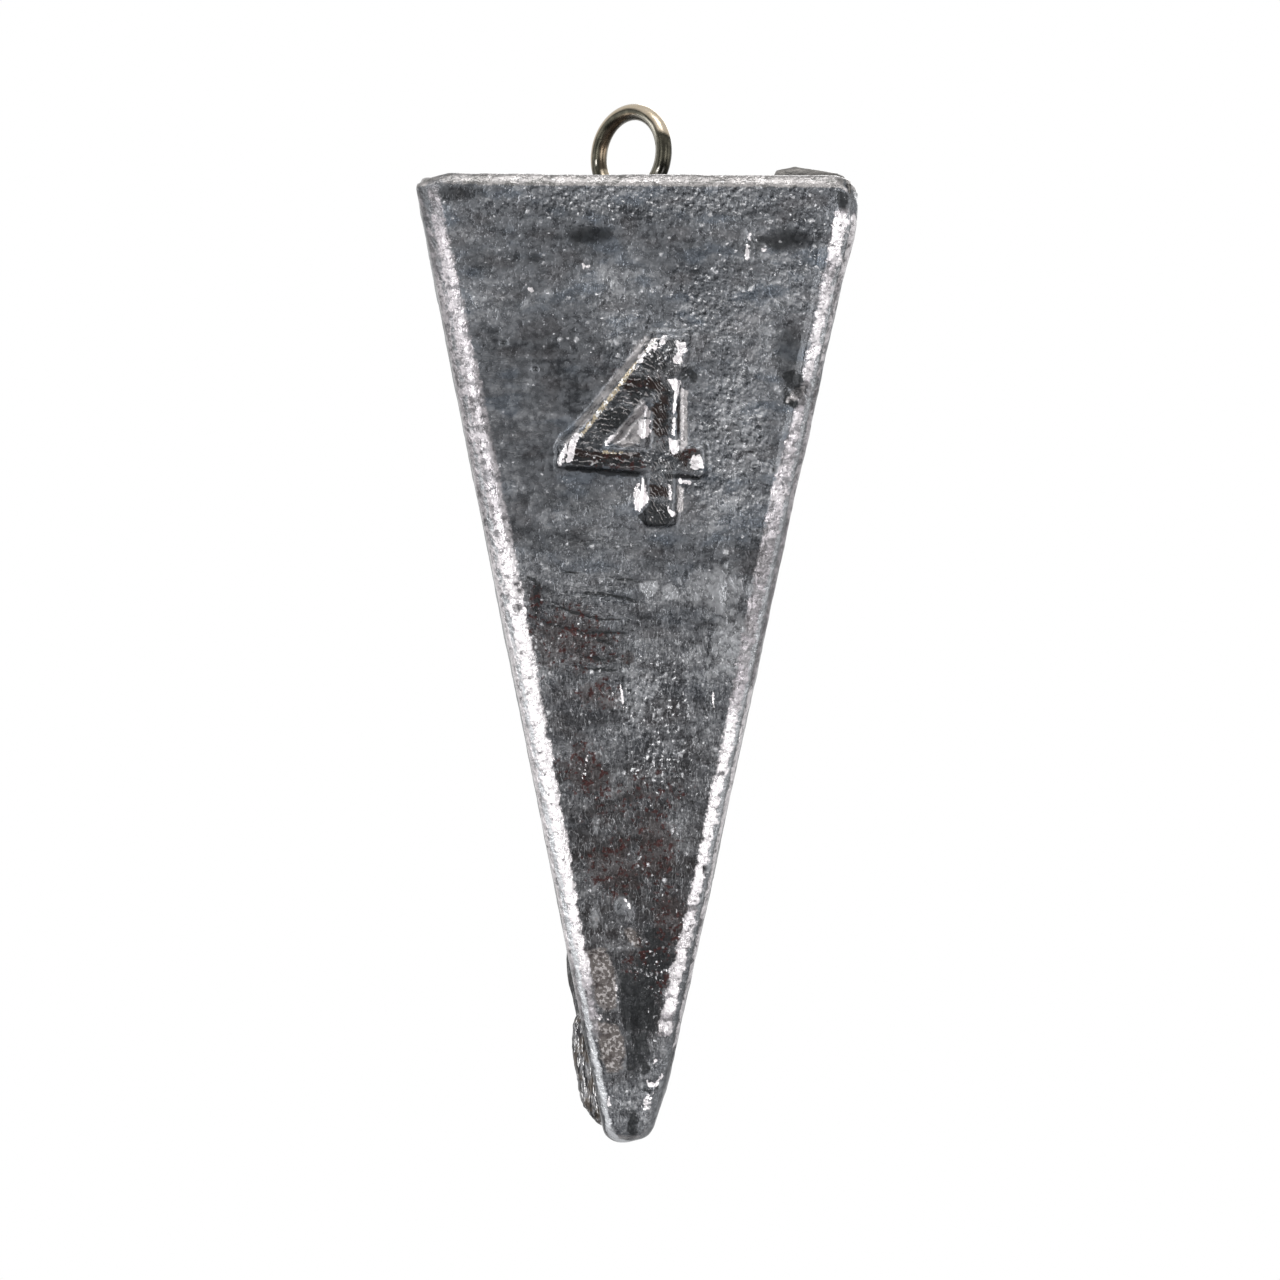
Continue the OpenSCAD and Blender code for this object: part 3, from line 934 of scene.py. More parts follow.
def shineMarks(points, drop, front):
    toRight = points[..., 0] > 0
    drop = drop + strayed(points, *shineElsewhere["stray"]) * (1 - front)
    found = {"gloom": heightProfile(gloom, drop)}
    for name in cornerShine["left"]:
        left, right = [heightProfile(cornerShine[side][name], drop) for side in ("left", "right")]
        found[name] = np.where(toRight, right, left)
    swing = lumps(together(drop, toRight * shineElsewhere["apart"], 0), *shineElsewhere["swingLumps"])
    share = np.where(points[..., 1] > 0, shineElsewhere["least"] + shineElsewhere["swing"] * swing, 1)
    found["glow"] = np.clip(found["glow"] * share, 0, 1)
    return found


def creaseDepth(across, drop, lines, half, wander):
    shifts = [folds["stray"] * lumps(wander, *sizes) for sizes in folds["strayLumps"]]
    deepest = np.zeros_like(across)
    for spots in lines:
        far, share = lineDistance(across + shifts[0], drop + shifts[1], spots)
        taper = np.sqrt(np.clip(folds["taper"] - (2 * share - 1) ** 2, 0, 1))
        deepest = np.maximum(deepest, ramp(half - far, 0, half) * taper)
    return deepest


def drawnFolds(side):  # creases for a side that the photograph doesn't show
    draw = np.random.default_rng(otherFolds["seed"] + side)
    stray = otherFolds["stray"]
    lines = []
    for _ in range(otherFolds["perSide"]):
        drop = draw.uniform(*otherFolds["drops"])
        room = casting["topWidth"] / 2 - drop * sideSlope - otherFolds["margin"]
        start = draw.uniform(-room, room * 0.5)
        lean = draw.uniform(*otherFolds["leans"])
        length = draw.uniform(*otherFolds["lengths"])
        lines.append([(start + length * share, drop + lean * length * share + draw.uniform(-stray, stray))
                      for share in otherFolds["shares"]])
    return lines


def castingRelief(points, drop, front, side, cornerMm):
    across, back, z = points[..., 0], points[..., 1], points[..., 2]
    wander = together(across, drop, 0)
    marks = {**stainAndLightMarks(across, drop, front, wander, points), **shineMarks(points, drop, front)}
    calm = 1 - skin["calm"] * marks["smooth"]
    onLow = ramp(drop, *skin["streaksFrom"])
    relief = -skin["shy"]
    for name, where, much in (("broad", points, 1), ("middle", points, calm), ("fine", points, calm),
                              ("streaks", points * skin["streakShape"], onLow * calm)):
        size, seed, count, height = skin[name]
        relief = relief + layers(where, size, seed, count) * height * much

    # the numeral, with wrinkles over its crest
    outside = np.min([outlineDistance(across, drop, onSide(stroke)) / wall
                      for wall, stroke in numeral["strokes"]], axis=0)
    outside = outside + layers(wander, *numeral["wobbleLumps"]) * numeral["wobble"]
    pastArch = np.clip(across - onFront(*numeral["archFrom"])[0], 0, numeral["archReach"])
    marks["arched"] = drop - numeral["arch"] * pastArch ** 2 - numeral["lean"] * across
    turns = 2 * math.pi * marks["arched"] / numeral["wrinkleStep"]
    turns = turns + numeral["stray"] * layers(wander, *numeral["strayLumps"])
    waves = numeral["waves"] * layers(wander, *numeral["waveLumps"]) - numeral["sunk"]
    marks["crest"] = ramp(-outside, *numeral["crest"]) * front
    relief += ramp(-outside, *numeral["wall"]) * front * numeral["height"]
    relief += marks["crest"] * (np.sin(turns) * numeral["wrinkle"] + waves)

    lines = [onSide(line) for line in folds["lines"]]
    creases = creaseDepth(across, drop, lines, folds["half"], wander) * front
    for number, sideAcross in ((1, back), (2, -across), (3, -back)):
        found = creaseDepth(sideAcross, drop, drawnFolds(number), otherFolds["half"], wander)
        creases = np.maximum(creases, found * (side == number))
    relief -= creases * folds["depth"]
    # the creases are darkened with painted shade
    marks["sootAndShade"] = np.maximum(marks["sootAndShade"], creases)

    # blister, chip, dents and pits
    bx, by = onFront(*blister["at"])
    dome = ramp(blister["round"] - np.hypot(across - bx, drop - by), 0, blister["soft"]) * front
    relief += dome * blister["height"]
    for kind in ("chalk", "sootAndShade", "rust"):
        marks[kind] = marks[kind] * (1 - dome)
    marks["blister"] = dome
    edge = ramp(across - bx - (drop - by) * blister["litLean"], *blister["litFrom"])
    marks["paintedHighlight"] = np.maximum(marks["paintedHighlight"], edge * ramp(dome, *blister["litOn"]) * blister["lit"])
    far, _ = lineDistance(across, drop, onSide(chip["line"]))
    relief -= ramp(chip["half"] - far, 0, chip["half"]) * front * chip["depth"]
    stray = dents["stray"] * lumps(wander, *dents["strayLumps"])
    for pixelX, pixelY, halfAcross, halfDown, depth in dents["spots"]:
        dx, dy = onFront(pixelX, pixelY)
        far = np.hypot((across - dx) / halfAcross, (drop - dy) / halfDown) + stray
        relief -= ramp(dents["reach"] - far, 0, dents["soft"]) * front * depth
    stray = pits["stray"] * lumps(wander, *pits["strayLumps"])
    marks["pit"] = np.zeros_like(across)
    for pixelX, pixelY, radius in pits["spots"]:
        dx, dy = onFront(pixelX, pixelY)
        far = np.hypot(across - dx, drop - dy) + stray
        hole = ramp(radius * pits["mouth"] - far, 0, radius * pits["slope"]) * front
        marks["pit"] = np.maximum(marks["pit"], hole)
    relief -= marks["pit"] * pits["depth"]

    # the seam down two corners and over the top, with the collar of lead round the wire
    span = ramp(drop, *seam["from"]) * (1 - ramp(drop, *seam["to"]))
    swing = layers(together(drop, np.sign(across) * seam["apart"], 0), *seam["swingLumps"])
    broken = seam["share"] + seam["swing"] * swing
    ridge = ramp(seam["half"] - np.abs(cornerMm), 0, seam["half"])
    ridge = ridge * np.clip(broken, seam["least"], 1) * span
    toFlare = np.abs(np.where((back < 0) & (across > 0), cornerMm, farAway))
    pressed = ramp(flare["reach"] - toFlare, 0, flare["soft"])
    relief += ridge * seam["height"] + pressed * heightProfile(flare["steps"], drop)
    onTop = side == -1
    offPlane = np.abs(across + back) * math.sqrt(0.5)
    ridge = ramp(topSeam["half"] - offPlane, 0, topSeam["half"]) * np.clip(broken, topSeam["least"], 1)
    legSide = topSeam["legAt"] * math.sqrt(0.5)
    far, _ = lineDistance(across + axisX, back + axisY, [(-legSide, legSide), (legSide, -legSide)])
    collar = ramp(topSeam["collar"] - far, 0, topSeam["collar"] - topSeam["wire"])
    relief += onTop * (ridge * topSeam["height"] + collar * topSeam["collarHeight"])

    # worn tip and worn front corners of the top
    worn = ramp(across, *tipWear["across"]) * (1 - ramp(z, tipZ, tipZ + tipWear["up"]))
    relief -= worn * tipWear["depth"]
    fromTop = casting["topZ"] - z
    for name, outwards in (("left", -across), ("right", across)):
        end = np.clip(1 + (outwards - casting["topWidth"] / 2) / topWear[name + "Reach"], 0, 1)
        worn = end * ramp(-back, *topWear["front"]) * (1 - ramp(fromTop, *topWear[name + "Down"]))
        relief -= worn * topWear[name]

    room = np.maximum(drop - boxRoom["from"], 0) * sideSlope * boxRoom["share"]
    room = room * (1 - ramp(drop, *boxRoom["to"]))
    return np.minimum(relief, np.where(fromTop < boxRoom["topBand"], boxRoom["top"], room)), marks


def makeCasting():
    columns, rows = castingGrid()
    a, b, nx, ny, place, turned = columns.T
    w, c, z = rows[:, :, None].transpose(1, 0, 2)
    plain = together(w * a + c * nx, w * b + c * ny, z)
    normal = np.cross(np.gradient(plain, axis=0), np.roll(plain, -1, 1) - np.roll(plain, 1, 1))
    size = np.linalg.norm(normal, axis=-1, keepdims=True)
    normal = np.where(size > tiny, normal / np.maximum(size, tiny), 0)
    if (normal[..., 0] * nx + normal[..., 1] * ny + normal[..., 2] * np.sign(z - rimZ)).sum() < 0:
        normal = -normal
    topCount = leadGrid["topRings"]
    normal[:topCount] = (0, 0, 1)
    normal[-leadGrid["tipRings"]:] = (0, 0, -1)

    # how far round the corner, in from the edge and along from the seam every point is
    drop = (casting["topZ"] - plain[..., 2]) / math.cos(sideLean)
    onTop = np.zeros_like(drop)
    onTop[:topCount] = 1
    frontTurn = leadGrid["frontTurn"]
    front = (place == 0) | (place == 10) & (turned < frontTurn) | (place == 13) & (turned > 90 - frontTurn)
    front = front * (1 - onTop)
    nearest = np.radians(np.minimum(turned, 90 - turned))
    flatShare = np.where((place == 0) | (place == 2), np.abs(a), np.abs(b))
    inset = np.where(turned > 0, c * (1 - np.sin(nearest)), c + (1 - flatShare) * w)
    cornerMm = np.where((place == 10) | (place == 12), np.radians(turned - 45) * c, farAway)
    beside = (place == 1) & (b < leadGrid["nearCorner"])
    cornerMm = np.where(beside, (math.pi / 4) * c + (b + 1) * w, cornerMm)
    sideOf = np.where(onTop > 0, -1, np.where(place < 4, place, 5))
    relief, marks = castingRelief(plain, drop, front, sideOf, cornerMm)
    relief[:topCount + leadGrid["raisedRows"]] += skin["topRaised"]
    relief[:topCount] -= skin["topHollows"] * ramp(lumps(plain[:topCount], *skin["hollowLumps"]), 0, 1)
    across, back, up = np.moveaxis(plain, -1, 0)
    clear = rimShine["leftShare"] * ramp(-across, *rimShine["clearLeft"])
    clear = clear + ramp(across, *rimShine["clearRight"])
    low, high = rimShine["band"]
    marks["rim"] = ramp(up, rimZ + low, rimZ + high) * (1 - onTop) * (1 - clear * front)
    marks["inset"] = inset + onTop * leadGrid["topInset"]
    marks["drop"] = drop
    return closedShell("leadCasting", plain + normal * relief[..., None] + (axisX, axisY, 0), marks)


leadCasting = makeCasting()
print("lead casting made:", len(leadCasting.data.polygons), "faces")


def partingPoint(reach, height, sideways):  # reach to the front right, height, and out of the parting plane
    half = math.sqrt(0.5)
    return together(axisX + (reach + sideways) * half, axisY + (sideways - reach) * half, height)


def section(fin, high, thick):  # a rounded section: its way round, then how far out of the lead and across
    angle = np.linspace(0, 2 * math.pi, fin["columns"], endpoint=False)[None]
    up, level = np.sin(angle), np.cos(angle)
    out = np.where(up > 0, high * np.abs(up) ** fin["roundUp"], up * fin["root"])
    return up, out, np.sign(level) * np.abs(level) ** fin["roundAcross"] * thick / 2


# Gate stub: where the runner broke off, with the torn metal standing in fibres
gate = {
    "length": 6.4,
    "height": 1.25,
    "thick": 1.6,
    "crownShare": 0.4,
    "outline": [(0, 0.2), (0.1, 0.55), (0.22, 0.86), (0.38, 1), (0.55, 0.97), (0.78, 0.78), (0.92, 0.5),
                (1, 0.3)],
    "tail": 5.0,            # the thin flash that runs on above it
    "tailHeight": 0.68,
    "tailThick": 0.3,
    "tailEnd": 0.02,
    "root": 0.7,
    "below": 0.25,
    "rows": 260,
    "columns": 72,
    "fibre": 0.16,
    "fibreLumps": (0.42, 63, 3, 0.6),
    "fibreLeast": 0.25,
    "fibreLean": (0.22, 0.35),
    "tailSmooth": 0.6,
    "swell": 0.13,
    "swellLumps": (0.8, 61),
    "tailFrom": (0.86, 1.02),   # in shares of the length
    "tailRises": (0.6, 1),
    "tailFalls": 2,
    "tailThins": (3.2, 0.8),
    "thickFrom": (-0.9, 1.2),
    "crownFrom": (0.25, 1.0),
    "roundUp": 0.8,         # powers that round the section, below 1 for fuller
    "roundAcross": 0.7,
    "proud": 0.22,          # the torn fibres stand this much over the drawn stub
}


def makeGate():
    length, tailEnd = gate["length"], gate["length"] + gate["tail"]
    along = np.linspace(-gate["below"], tailEnd, gate["rows"])[:, None]
    stubAt = [share * length for share, _ in gate["outline"]] + [tailEnd]
    stubHigh = [high * (gate["height"] + gate["proud"]) for _, high in gate["outline"]] + [gate["tailEnd"]]
    onTail = ramp(along / length, *gate["tailFrom"])
    tailHigh = gate["tailHeight"] * (1 - ramp(along, length + gate["tailFalls"], tailEnd))
    tailHigh = tailHigh * ramp(along / length, *gate["tailRises"])
    high = np.maximum(np.interp(along, stubAt, stubHigh), tailHigh)
    high = high * (1 + gate["swell"] * layers(together(along, 0, 0), *gate["swellLumps"]))
    thick = gate["thick"] * ramp(along, *gate["thickFrom"]) * (1 - onTail) + gate["tailThick"] * onTail
    thinsAfter, thinner = gate["tailThins"]
    thick = thick * (1 - thinner * ramp(along, length + thinsAfter, tailEnd))
    up, out, across = section(gate, high, thick)
    narrow = 1 - (1 - gate["crownShare"]) * ramp(up, *gate["crownFrom"])
    across = across * narrow
    stretch, lean = gate["fibreLean"]
    tear = layers(together(along * stretch + lean * out, out, across), *gate["fibreLumps"])
    deep = gate["fibre"] * tear * (1 - gate["tailSmooth"] * onTail)
    swell = 1 + deep / np.maximum(np.hypot(out, across), gate["fibreLeast"])
    out, across = out * swell, across * swell
    reach = -tipReach - along * math.sin(cornerLean) - out * math.cos(cornerLean)
    height = roundZ + along * math.cos(cornerLean) - out * math.sin(cornerLean)
    return closedShell("gateStub", partingPoint(reach, height, across), {"thin": onTail + 0 * across})


# Flash lip: metal squeezed out over the top at the parting, folded towards the front
lip = {
    "length": 5.7,
    "height": 0.95,
    "thick": 0.6,
    "outline": [(0, 0), (0.05, 0.02), (0.15, 0.3), (0.35, 0.6), (0.65, 1), (0.88, 0.95), (1, 0.3)],
    "root": 0.5,
    "fold": 0.3,
    "rows": 170,
    "columns": 56,
    "shy": 0.06,
    "inset": 0.15,
    "bent": 0.4,            # its outer end bends down over the worn corner
    "bentTo": 0.12,
    "least": 0.03,
    "endThick": 0.35,
    "endSteep": 6,
    "ripple": 0.05,
    "rippleLumps": (1.1, 71),
    "roundUp": 0.75,
    "roundAcross": 0.8,
    "foldPower": 1.3,
    "levelLeast": 0.3,
    "paleEnd": (0.18, 0.12, 0.5),       # the outer end is paler: from, full at, how much
}


def makeLip():
    share = np.linspace(0, 1, lip["rows"])[:, None]
    high = np.interp(share, *zip(*lip["outline"])) * (lip["height"] - lip["shy"])
    high = np.maximum(high, lip["least"])
    up, out, across = section(lip, high, lip["thick"])
    toEnd = np.minimum(1, lip["endSteep"] * np.minimum(share, 1 - share))
    across = across * (lip["endThick"] + (1 - lip["endThick"]) * toEnd)
    across = across - lip["fold"] * np.clip(out / lip["height"], 0, 1) ** lip["foldPower"]
    ripple = lip["ripple"] * layers(together(share * lip["length"], out, across), *lip["rippleLumps"])
    across = across + ripple
    out = np.where(up > 0, out * (1 + ripple), out)
    out = out - lip["bent"] * ramp(lip["bentTo"] - share, 0, lip["bentTo"])
    reach = rimReach - lip["inset"] - share * lip["length"]
    level = np.clip(out / lip["height"], 0, 1) / np.maximum(high / lip["height"], lip["levelLeast"])
    paleFrom, paleFull, pale = lip["paleEnd"]
    rise = np.maximum(level, pale * ramp(paleFrom - share, 0, paleFrom - paleFull))
    return closedShell("flashLip", partingPoint(reach, casting["topZ"] + out, across), {"rise": rise})


gateStub = makeGate()
flashLip = makeLip()
print("gate stub and flash lip made")

# Finishes

leadTones = {
    "darkSkin": (0.044, 0.047, 0.052),
    "skin": (0.117, 0.122, 0.131),
    "paleSkin": (0.25, 0.255, 0.265),
    "blueSkin": (0.080, 0.098, 0.122),
    "brownSkin": (0.105, 0.095, 0.094),
    # glint and flash are painted highlights
    "glint": (0.34, 0.34, 0.35),
    "flash": (0.66, 0.66, 0.67),
    # band, softBand, bandGap, strip and stripPale are painted reflections and painted highlights
    "band": (0.70, 0.67, 0.68),
    "softBand": (0.33, 0.31, 0.325),
    "bandGap": (0.19, 0.18, 0.185),
    "strip": (0.088, 0.091, 0.096),
    "stripPale": (0.50, 0.51, 0.525),
    "rust": (0.040, 0.017, 0.016),
    "rustSkin": (0.036, 0.029, 0.028),
    "gloom": (0.025, 0.0225, 0.022),
    # soot, also the tone of painted shade
    "sootAndShade": (0.020, 0.021, 0.022),
    "umber": (0.022, 0.0155, 0.014),
    "chalk": (0.28, 0.285, 0.295),
    "paintedSheen": (0.34, 0.325, 0.325),
    "clay": (0.108, 0.097, 0.092),
    "clayGrain": (0.36, 0.34, 0.335),
    "gold": (0.34, 0.29, 0.21),
    # rim and rimDark are painted reflection on the rim of the top
    "rim": (0.325, 0.31, 0.305),
    "rimDark": (0.16, 0.155, 0.15),
}
leadStretches = {           # how a noise's place is scaled, and turned about y by degrees
    "tall": ((1, 1, 0.22), 0),
    "upright": ((1, 1, 0.45), 0),
    "flat": ((0.55, 0.55, 1.7), 0),
    "wide": ((0.6, 0.6, 1.2), 0),
    "slant": ((0.3, 0.3, 1.25), 7),
}
leadNoises = {              # stretch, scale, detail, roughness
    "cloud": ("wide", 0.36, 2, 0.5),
    "blotch": ("wide", 0.95, 3, 0.5),
    "mottle": ("plain", 2.4, 3, 0.6),
    "grain": ("plain", 5.5, 2, 0.55),
    "drag": ("tall", 3.6, 3, 0.6),
    "lap": ("flat", 1.6, 3, 0.6),
    "tint": ("wide", 0.7, 2, 0.5),
    "fold": ("slant", 2.0, 3, 0.6),
    "tallCurl": ("tall", 2.9, 2, 0.6),
    "curl": ("plain", 2.3, 2, 0.6),
    "fleck": ("plain", 3.4, 2, 0.6),
    "bend": ("plain", 1.6, 2, 0.6),
    "broken": ("plain", 2.6, 2, 0.6),
    "wideKnot": ("wide", 2.2, 2, 0.6),
    "knot": ("plain", 2.9, 2, 0.6),
    "fray": ("plain", 4.2, 2, 0.6),
}
leadSwings = {"cloud": 0.32, "blotch": 0.26, "mottle": 0.20, "grain": 0.07, "drag": 0.11, "lap": 0.10}
leadLayers = {              # where each sets in and is full, its tone, and how strongly it covers
    "paleSkin": ((0.0, 0.15), "paleSkin", 1.0),
    "blueSkin": ((0.52, 0.66), "blueSkin", 1.0),
    "brownSkin": ((0.32, 0.46, 1.0, 0.0), "brownSkin", 0.25),
    "lapLight": ((0.004, 0.016, 1.0, 0.0), "chalk", 0.7),
    "lapDark": ((0.006, 0.02, 1.0, 0.0), "sootAndShade", 0.85),
    "tallCurl": ((0.0, 0.02, 1.0, 0.0), "chalk", 0.5),
    "curl": ((0.0, 0.02, 1.0, 0.0), "sootAndShade", 0.5),
    "chalk": ((0.12, 0.85), "chalk", 0.78),
    "rust": ((0.3, 0.7), "rustSkin", 0.6),
    "crest": ((0.3, 0.7), "sootAndShade", 0.5),
    "clay": ((0.3, 0.7), "clay", 0.95),
    "sootAndShade": ((0.3, 0.7), "sootAndShade", 0.88),
    "umber": ((0.3, 0.7), "umber", 0.9),
    "fleck": ((0.58, 0.68), "rust", 0.85),
    "clayGrain": ((0.5, 0.6), "clayGrain", 0.85),
    "clayDark": ((0.38, 0.52, 1.0, 0.0), "rustSkin", 0.65),
    "paintedSheen": ((0.25, 0.75), "paintedSheen", 0.9),
    "embossHollowShade": ((-0.2, -0.09, 1.0, 0.0), "sootAndShade", 0.6),
    "glint": ((0.08, 0.4), "glint", 0.85),
    "flash": ((0.48, 0.75), "flash", 0.9),
    "rimFlash": ((0.84, 1.0), "flash", 0.36),
    "gold": ((0.55, 0.75), "gold", 0.8),
    "goldFlash": ((0.9, 1.2), "flash", 0.8),
    "paintedHighlight": ((0.37, 0.57), "band", 1.0),
}
leadEdges = {               # the same for what only shapes a layer
    "low": (15.0, 26.0),    # how far down the side the metal gets rougher
    "skin": (-0.13, 0.0),
    "lessBlueLow": (0.0, 1.0, 0.45, 0.1),
    "gloom": (0.3, 0.7, 0.9, 0.55),
    "laps": (0.35, 0.55),
    "stainFoot": (0.02, 0.25),
    "onRust": (0.05, 0.3),
    "onClay": (0.3, 0.7),
    "unbroken": (0.44, 0.56),
    "streak": (0.2, 0.95),
    "raised": (0.095, 0.21),
    "outside": (-0.08, 0.1, 1.0, 0.0),
    "bandStart": (-0.08, 0.08),
    "bandEnd": (-0.12, 0.12),
    "glow": (0.0, 0.25),
    "bright": (0.35, 1.0),
    "softKnots": (-0.08, 0.02),
    "knots": (0.0, 0.12),
    "rim": (0.22, 0.56),
    "rimTone": (0.32, 0.54),
    "blister": (0.2, 0.6),
    "blisterTone": (0.4, 0.6),
    "dull": (0.35, 0.65, 0.22, 0.38),
}
embossShading = {                # painted light and shade of a relief lit from one side: scale, detail, the step to the side
    "plain": (2.7, 3, (0.05, 0, -0.09)),
    "upright": (3.4, 2, (0.08, 0, 0.03)),
}
sparkKinds = {"fine": ("plain", 3.9), "broad": ("plain", 2.3), "upright": ("tall", 3.4)}
sparkLooks = {              # a cell's chance colour sets its painted glint's size, whether it shows, and its glow
    "stray": (5.0, 0.24),
    "tall": (1.15, 1.15, 0.5),
    "reach": (0.0, 1.0, 0.24, 0.42),
    "shown": (0.98, 1.04),
    "glow": (0.0, 1.0, 0.45, 1.0),
}


def sparks(nodes, where, low, share):  # painted glints: small bright spots of chance size, upright ones lower down
    between, times = nodes.between, nodes.times
    scale, much = sparkLooks["stray"]
    stray = nodes.put("TexNoise", {"Vector": where, "Scale": scale, "Detail": 1.0}).outputs["Color"]
    stray = nodes.put("VectorMath", {0: stray, "Scale": much}, operation="SCALE").outputs[0]
    places = {"plain": nodes.moved(where, stray)}
    places["tall"] = nodes.scaled(places["plain"], sparkLooks["tall"])
    found = {}
    for name, (place, scale) in sparkKinds.items():
        cells = nodes.put("TexVoronoi", {"Vector": places[place], "Scale": scale})
        chance = nodes.put("SeparateColor", {"Color": cells.outputs["Color"]}).outputs
        reach = between(chance[1], *sparkLooks["reach"])
        far = nodes.sums("DIVIDE", cells.outputs["Distance"], reach)
        spot = nodes.sums("SUBTRACT", 1.0, far, clamp=True)
        shown = between(nodes.plus(chance[0], share), *sparkLooks["shown"])
        found[name] = times(times(spot, shown), between(chance[2], *sparkLooks["glow"]))
    upright = times(found["upright"], times(low, 0.75))
    fine = times(found["fine"], nodes.less(1.0, times(low, 0.6)))
    return nodes.sums("MAXIMUM", nodes.sums("MAXIMUM", fine, upright), times(found["broad"], 0.8))


def embossShade(nodes, where, scale, detail, step):  # painted light and shade: a noise less itself a step on
    lifted = nodes.moved(where, step)
    return nodes.less(nodes.noise(where, scale, detail), nodes.noise(lifted, scale, detail))


def noisesOf(nodes, stretches, noises):  # the places a finish looks its noises up at, and the noises
    where = {"plain": nodes.inMm()}
    for name, (scale, turned) in stretches.items():
        where[name] = nodes.scaled(where["plain"], scale, turned)
    return where, {name: nodes.noise(where[place], *numbers) for name, (place, *numbers) in noises.items()}


def leadFinish():
    nodes = Nodes(bpy.data.materials.new("castLeadSkin"))
    plus, times, less, sums = nodes.plus, nodes.times, nodes.less, nodes.sums
    centred, mark = nodes.centred, nodes.mark

    def edge(name, value):
        return nodes.between(value, *leadEdges[name])

    def mixed(share, first, second):
        return nodes.blend(share, leadTones[first], leadTones[second])

    def paint(share, tint, most=1.0):
        nonlocal shade
        shade = nodes.blend(times(share, most), shade, leadTones[tint] if isinstance(tint, str) else tint)

    def lay(name, value, mask=None):  # one layer of the list, where the value is within its edges
        edges, tint, most = leadLayers[name]
        share = nodes.between(value, *edges)
        paint(times(share, mask) if mask else share, tint, most)

    def markedLayer(name, swing, layer=None):  # a layer where a mark is strong enough, with an edge that strays
        place = mark(name)
        lay(layer or name, plus(place, swing), edge("stainFoot", place))

    where, look = noisesOf(nodes, leadStretches, leadNoises)
    mottle, grain = look["mottle"], look["grain"]
    low = edge("low", plus(mark("drop"), centred(look["cloud"], 16.0)))

    # light and dark of the skin, with the painted light and shade of an emboss, rougher where it glints
    tone = plus(*[centred(look[name], amount) for name, amount in leadSwings.items()])
    tone = times(tone, plus(times(low, 0.6), 1.0))
    rough = plus(times(mark("glint"), 0.75), plus(0.3, times(mark("crest"), 0.6)))
    rough = times(plus(rough, times(low, 0.08)), less(1.0, times(mark("smooth"), 0.75)))
    # relief here is the painted light and shade of an emboss in the colour, not a shape
    relief, tallEmbossShade = [embossShade(nodes, where[name], *numbers) for name, numbers in embossShading.items()]
    relief = plus(times(relief, rough), times(times(tallEmbossShade, low), 0.5))
    tone = plus(tone, times(relief, 0.9))
    shade = mixed(edge("skin", tone), "darkSkin", "skin")
    lay("paleSkin", tone)
    lay("blueSkin", look["tint"], edge("lessBlueLow", low))
    lay("brownSkin", look["tint"])
    paint(times(mark("gloom"), edge("gloom", look["blotch"])), "gloom")
    # painted shade where the shade marks lie
    paint(mark("shade"), "sootAndShade")

    # cold laps: painted shade along dark lines with a painted highlight beside each, and curls lower down
    fold = centred(look["fold"], 1.0)
    onLaps = times(mark("laps"), edge("laps", mottle))
    lay("lapLight", sums("ABSOLUTE", plus(fold, 0.03)), onLaps)
    lay("lapDark", sums("ABSOLUTE", fold), onLaps)
    for name in ("tallCurl", "curl"):
        lay(name, sums("ABSOLUTE", centred(look[name], 1.0)), low)

    # stains, with painted shade among them
    markedLayer("chalk", plus(centred(mottle, 0.9), times(relief, 0.7)))
    ragged = centred(mottle, 1.7)
    for name in ("rust", "crest", "clay", "sootAndShade", "umber"):
        markedLayer(name, ragged)
    lay("fleck", plus(look["fleck"], times(mark("rust"), 0.07)), edge("onRust", mark("rust")))
    onClay = edge("onClay", mark("clay"))
    lay("clayGrain", grain, onClay)
    lay("clayDark", mottle, onClay)

    # painted highlights on the wrinkles over the numeral, and on its walls
    bend = plus(times(mark("arched"), 19.0), centred(look["bend"], 14.0))
    onCrest = times(mark("crest"), edge("unbroken", look["broken"]))
    streak = times(edge("streak", sums("SINE", bend)), onCrest)
    paint(streak, "paintedSheen", 0.55)
    markedLayer("paintedSheen", centred(mottle, 0.8))

    # painted shade in the emboss's hollows, and painted glints
    share = plus(times(mark("glint"), 0.36), plus(centred(look["blotch"], 0.6), centred(mottle, 1.1)))
    share = plus(share, 0.105, times(mark("smooth"), -0.18))
    lay("embossHollowShade", relief)
    # lit: painted glints, from the chance spots and the raised side of the painted emboss
    lit = sums("MAXIMUM", sparks(nodes, where["plain"], low, share), edge("raised", relief))
    lay("glint", lit)
    lay("flash", lit)

    # painted reflections: the strips outside the bright bands of the rounded corners, then the bands with
    # their gaps and knots
    depth = plus(mark("inset"), plus(centred(mottle, 0.6), centred(grain, 0.25)))
    inwards, glow = less(depth, mark("bandLow")), mark("glow")
    uneven = times(plus(centred(look["drag"], 0.5), centred(mottle, 0.6)), less(1.1, mark("pale")))
    pale = nodes.between(plus(mark("pale"), uneven), 0.0, 1.0)
    paint(edge("outside", inwards), mixed(pale, "strip", "stripPale"))
    onBand = times(edge("bandStart", inwards), edge("bandEnd", less(mark("bandHigh"), depth)))
    onBand = times(onBand, edge("glow", glow))
    knots = plus(centred(look["wideKnot"], 0.7), centred(look["knot"], 0.6), centred(glow, 0.26))
    bright = mixed(edge("bright", glow), "softBand", "band")
    paint(onBand, "bandGap", 0.7)
    paint(times(onBand, edge("softKnots", knots)), bright, 0.7)
    paint(times(onBand, edge("knots", knots)), bright)

